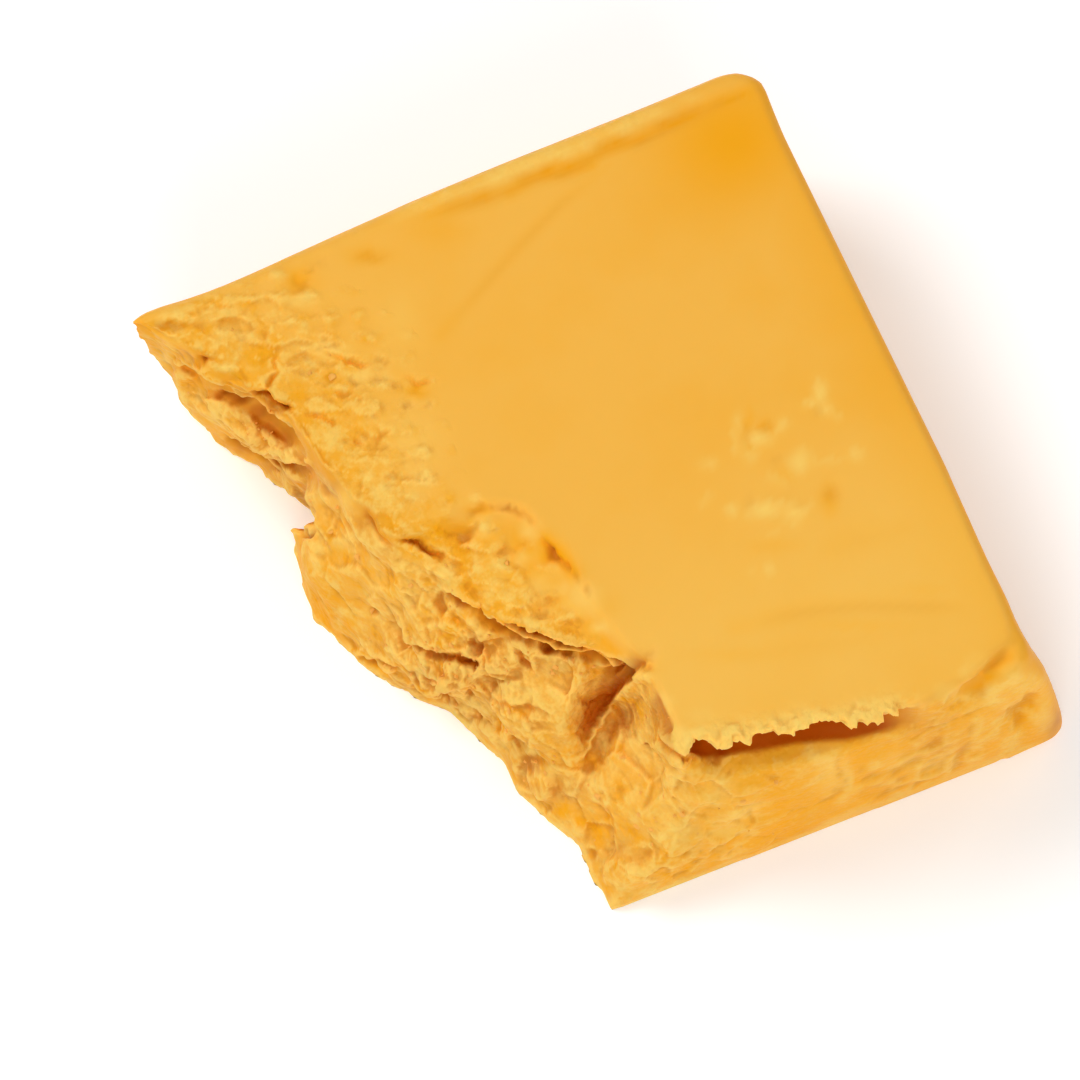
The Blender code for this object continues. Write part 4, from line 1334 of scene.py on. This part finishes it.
def cheddar_material(colours):
    """Waxy cheese: painted shade in hollows, cracks and shut-in places, pale tone and painted highlight on
    crests, with light passing a little way in.
    """
    cheddar = bpy.data.materials.new("cheddar")
    cheddar.use_nodes = True
    nodes, links = cheddar.node_tree.nodes, cheddar.node_tree.links
    shader = nodes["Principled BSDF"]
    shader.inputs["Metallic"].default_value = 0.0
    shader.subsurface_method = "BURLEY"
    shader.inputs["Subsurface Weight"].default_value = 1.0
    shader.inputs["Subsurface Radius"].default_value = SCATTER_SHARES
    shader.inputs["Subsurface Scale"].default_value = SCATTER_REACH
    shader.inputs["Specular IOR Level"].default_value = 0.06
    place = nodes.new("ShaderNodeTexCoord")
    grain = nodes.new("ShaderNodeGroup")
    grain.node_tree = grain_group()
    links.new(place.outputs["Object"], grain.inputs["Place"])
    rough = add_mask(nodes, "rough")
    links.new(rough, grain.inputs["Rough"])
    main, rich_tone_and_shade, pale, deep, brown_shade, under = (
        tuple(getattr(colours, name)) + (1.0,) for name in ("main", "rich_tone_and_shade", "pale", "deep", "brown_shade", "under")
    )
    blotches = add_scaled(nodes, links, grain.outputs["Blotch"], 2.2, -0.95)
    colour = blend_colour(nodes, links, add_scaled(nodes, links, blotches, 0.35), main, rich_tone_and_shade)
    # Rich tone with painted shade, then painted brown shade
    colour = lay_masks(nodes, links, colour, (("rich_tone_and_shade", 0.95, 0.0, rich_tone_and_shade), ("brown_shade", 0.95, 0.0, brown_shade)))
    for factor, shift, strength, over in ((6.0, -4.9, 0.8, rich_tone_and_shade), (-6.0, 4.7, 0.7, pale)):
        flecks = add_scaled(nodes, links, grain.outputs["Fleck"], factor, shift)
        flecks = add_scaled(nodes, links, add_product(nodes, links, flecks, rough), strength)
        colour = blend_colour(nodes, links, flecks, colour, over)
    # Pale tone and painted highlight on crests and pale spots, then painted shade in hollows, shut-in places
    # and cracks, and under the lip and in the valley
    colour = lay_masks(nodes, links, colour, (
        ("crest_tone_and_highlight", 0.62, 0.0, pale), ("pale", 0.9, 0.0, pale), ("hollow", 0.45, 0.0, deep),
        ("occlusion_shade", 2.4, -0.62, deep), ("mark_shade", 0.85, 0.0, deep), ("deep", 1.0, 0.0, under),
    ))
    links.new(colour, shader.inputs["Base Color"])
    links.new(add_scaled(nodes, links, rough, 0.16, 0.42), shader.inputs["Roughness"])
    bump = nodes.new("ShaderNodeBump")
    bump.inputs["Strength"].default_value = 0.8
    bump.inputs["Distance"].default_value = GRAIN_HEIGHT
    links.new(grain.outputs["Height"], bump.inputs["Height"])
    links.new(bump.outputs["Normal"], shader.inputs["Normal"])
    return cheddar


# Stage

def floor_material(colour):
    """Plain pale floor that gives off a little light."""
    plain = bpy.data.materials.new("pale_floor")
    plain.use_nodes = True
    shader = plain.node_tree.nodes["Principled BSDF"]
    shader.inputs["Base Color"].default_value = tuple(colour) + (1.0,)
    shader.inputs["Roughness"].default_value = 0.8
    shader.inputs["Specular IOR Level"].default_value = 0.2
    shader.inputs["Emission Color"].default_value = (1.0, 1.0, 1.0, 1.0)
    shader.inputs["Emission Strength"].default_value = 0.24
    return plain


def add_area_light(name, place, size, power, aim):
    """A soft square light aimed at a point."""
    data = bpy.data.lights.new(name, "AREA")
    data.size = size
    data.energy = power
    lamp = bpy.data.objects.new(name, data)
    lamp.location = place
    lamp.rotation_euler = (Vector(place) - aim).to_track_quat("Z", "Y").to_euler()
    bpy.context.scene.collection.objects.link(lamp)
    return lamp


def add_camera(settings):
    """Camera at the photograph's angle, aimed at the middle of the plan."""
    aim = plan_origin() + Vector((0.0, 0.0, THICK * MM / 2.0))
    back = Vector(towards_camera())
    data = bpy.data.cameras.new("camera")
    data.lens = settings.lens
    data.sensor_width = SENSOR
    data.clip_start = 0.01
    camera = bpy.data.objects.new("camera", data)
    camera.location = aim + back * settings.distance
    camera.rotation_euler = back.to_track_quat("Z", "Y").to_euler()
    bpy.context.scene.collection.objects.link(camera)
    bpy.context.scene.camera = camera
    return aim


def set_world():
    """Even white light from all round."""
    world = bpy.data.worlds.new("soft_white")
    world.use_nodes = True
    sky = world.node_tree.nodes["Background"]
    sky.inputs["Color"].default_value = (1.0, 1.0, 1.0, 1.0)
    sky.inputs["Strength"].default_value = WORLD_LIGHT
    bpy.context.scene.world = world


class CHEDDAR_OT_stage(bpy.types.Operator):
    """Set the pale floor, the soft lights and the camera"""

    bl_idname = "cheddar.stage"
    bl_label = "Stage"

    def execute(self, context):
        settings = context.scene.cheddar_stage
        deselect_all()
        bpy.ops.mesh.primitive_plane_add(size=FLOOR_SIZE, location=(0.0, 0.0, -FLOOR_BELOW))
        floor = context.object
        floor.name = "floor"
        floor.data.materials.append(floor_material(settings.floor_colour))
        aim = add_camera(settings)
        for name, (place, size, power) in LIGHTS.items():
            add_area_light(name, place, size, power, aim)
        set_world()
        context.scene.view_settings.view_transform = "Standard"
        return {"FINISHED"}


class CHEDDAR_PT_panel(bpy.types.Panel):
    """Lists the pieces and the stage"""

    bl_idname = "CHEDDAR_PT_panel"
    bl_label = "Cheddar"
    bl_space_type = "VIEW_3D"
    bl_region_type = "UI"
    bl_category = "Cheddar"

    def draw(self, context):
        column = self.layout.column()
        for operator in (CHEDDAR_OT_block, CHEDDAR_OT_crumbs, CHEDDAR_OT_stage):
            column.operator(operator.bl_idname, text=operator.bl_label)
        for name in ("cheddar_break", "cheddar_colours", "cheddar_crumbs", "cheddar_stage"):
            settings = getattr(context.scene, name)
            for key in settings.bl_rna.properties.keys():
                if key not in ("rna_type", "name"):
                    column.prop(settings, key)


CLASSES = (
    CheddarBreakSettings, CheddarColourSettings, CheddarCrumbSettings, CheddarStageSettings,
    CHEDDAR_OT_block, CHEDDAR_OT_crumbs, CHEDDAR_OT_stage, CHEDDAR_PT_panel,
)
SETTINGS = {
    "cheddar_break": CheddarBreakSettings,
    "cheddar_colours": CheddarColourSettings,
    "cheddar_crumbs": CheddarCrumbSettings,
    "cheddar_stage": CheddarStageSettings,
}


def register():
    """The classes and settings made known to Blender."""
    for kind in CLASSES:
        bpy.utils.register_class(kind)
    for name, kind in SETTINGS.items():
        setattr(bpy.types.Scene, name, bpy.props.PointerProperty(type=kind))


def unregister():
    """The classes and settings taken out again."""
    for name in SETTINGS:
        delattr(bpy.types.Scene, name)
    for kind in reversed(CLASSES):
        bpy.utils.unregister_class(kind)


def main():
    """Makes every piece and the stage."""
    register()
    bpy.ops.cheddar.block()
    bpy.ops.cheddar.crumbs()
    bpy.ops.cheddar.stage()
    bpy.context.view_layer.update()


if __name__ == "__main__":
    main()
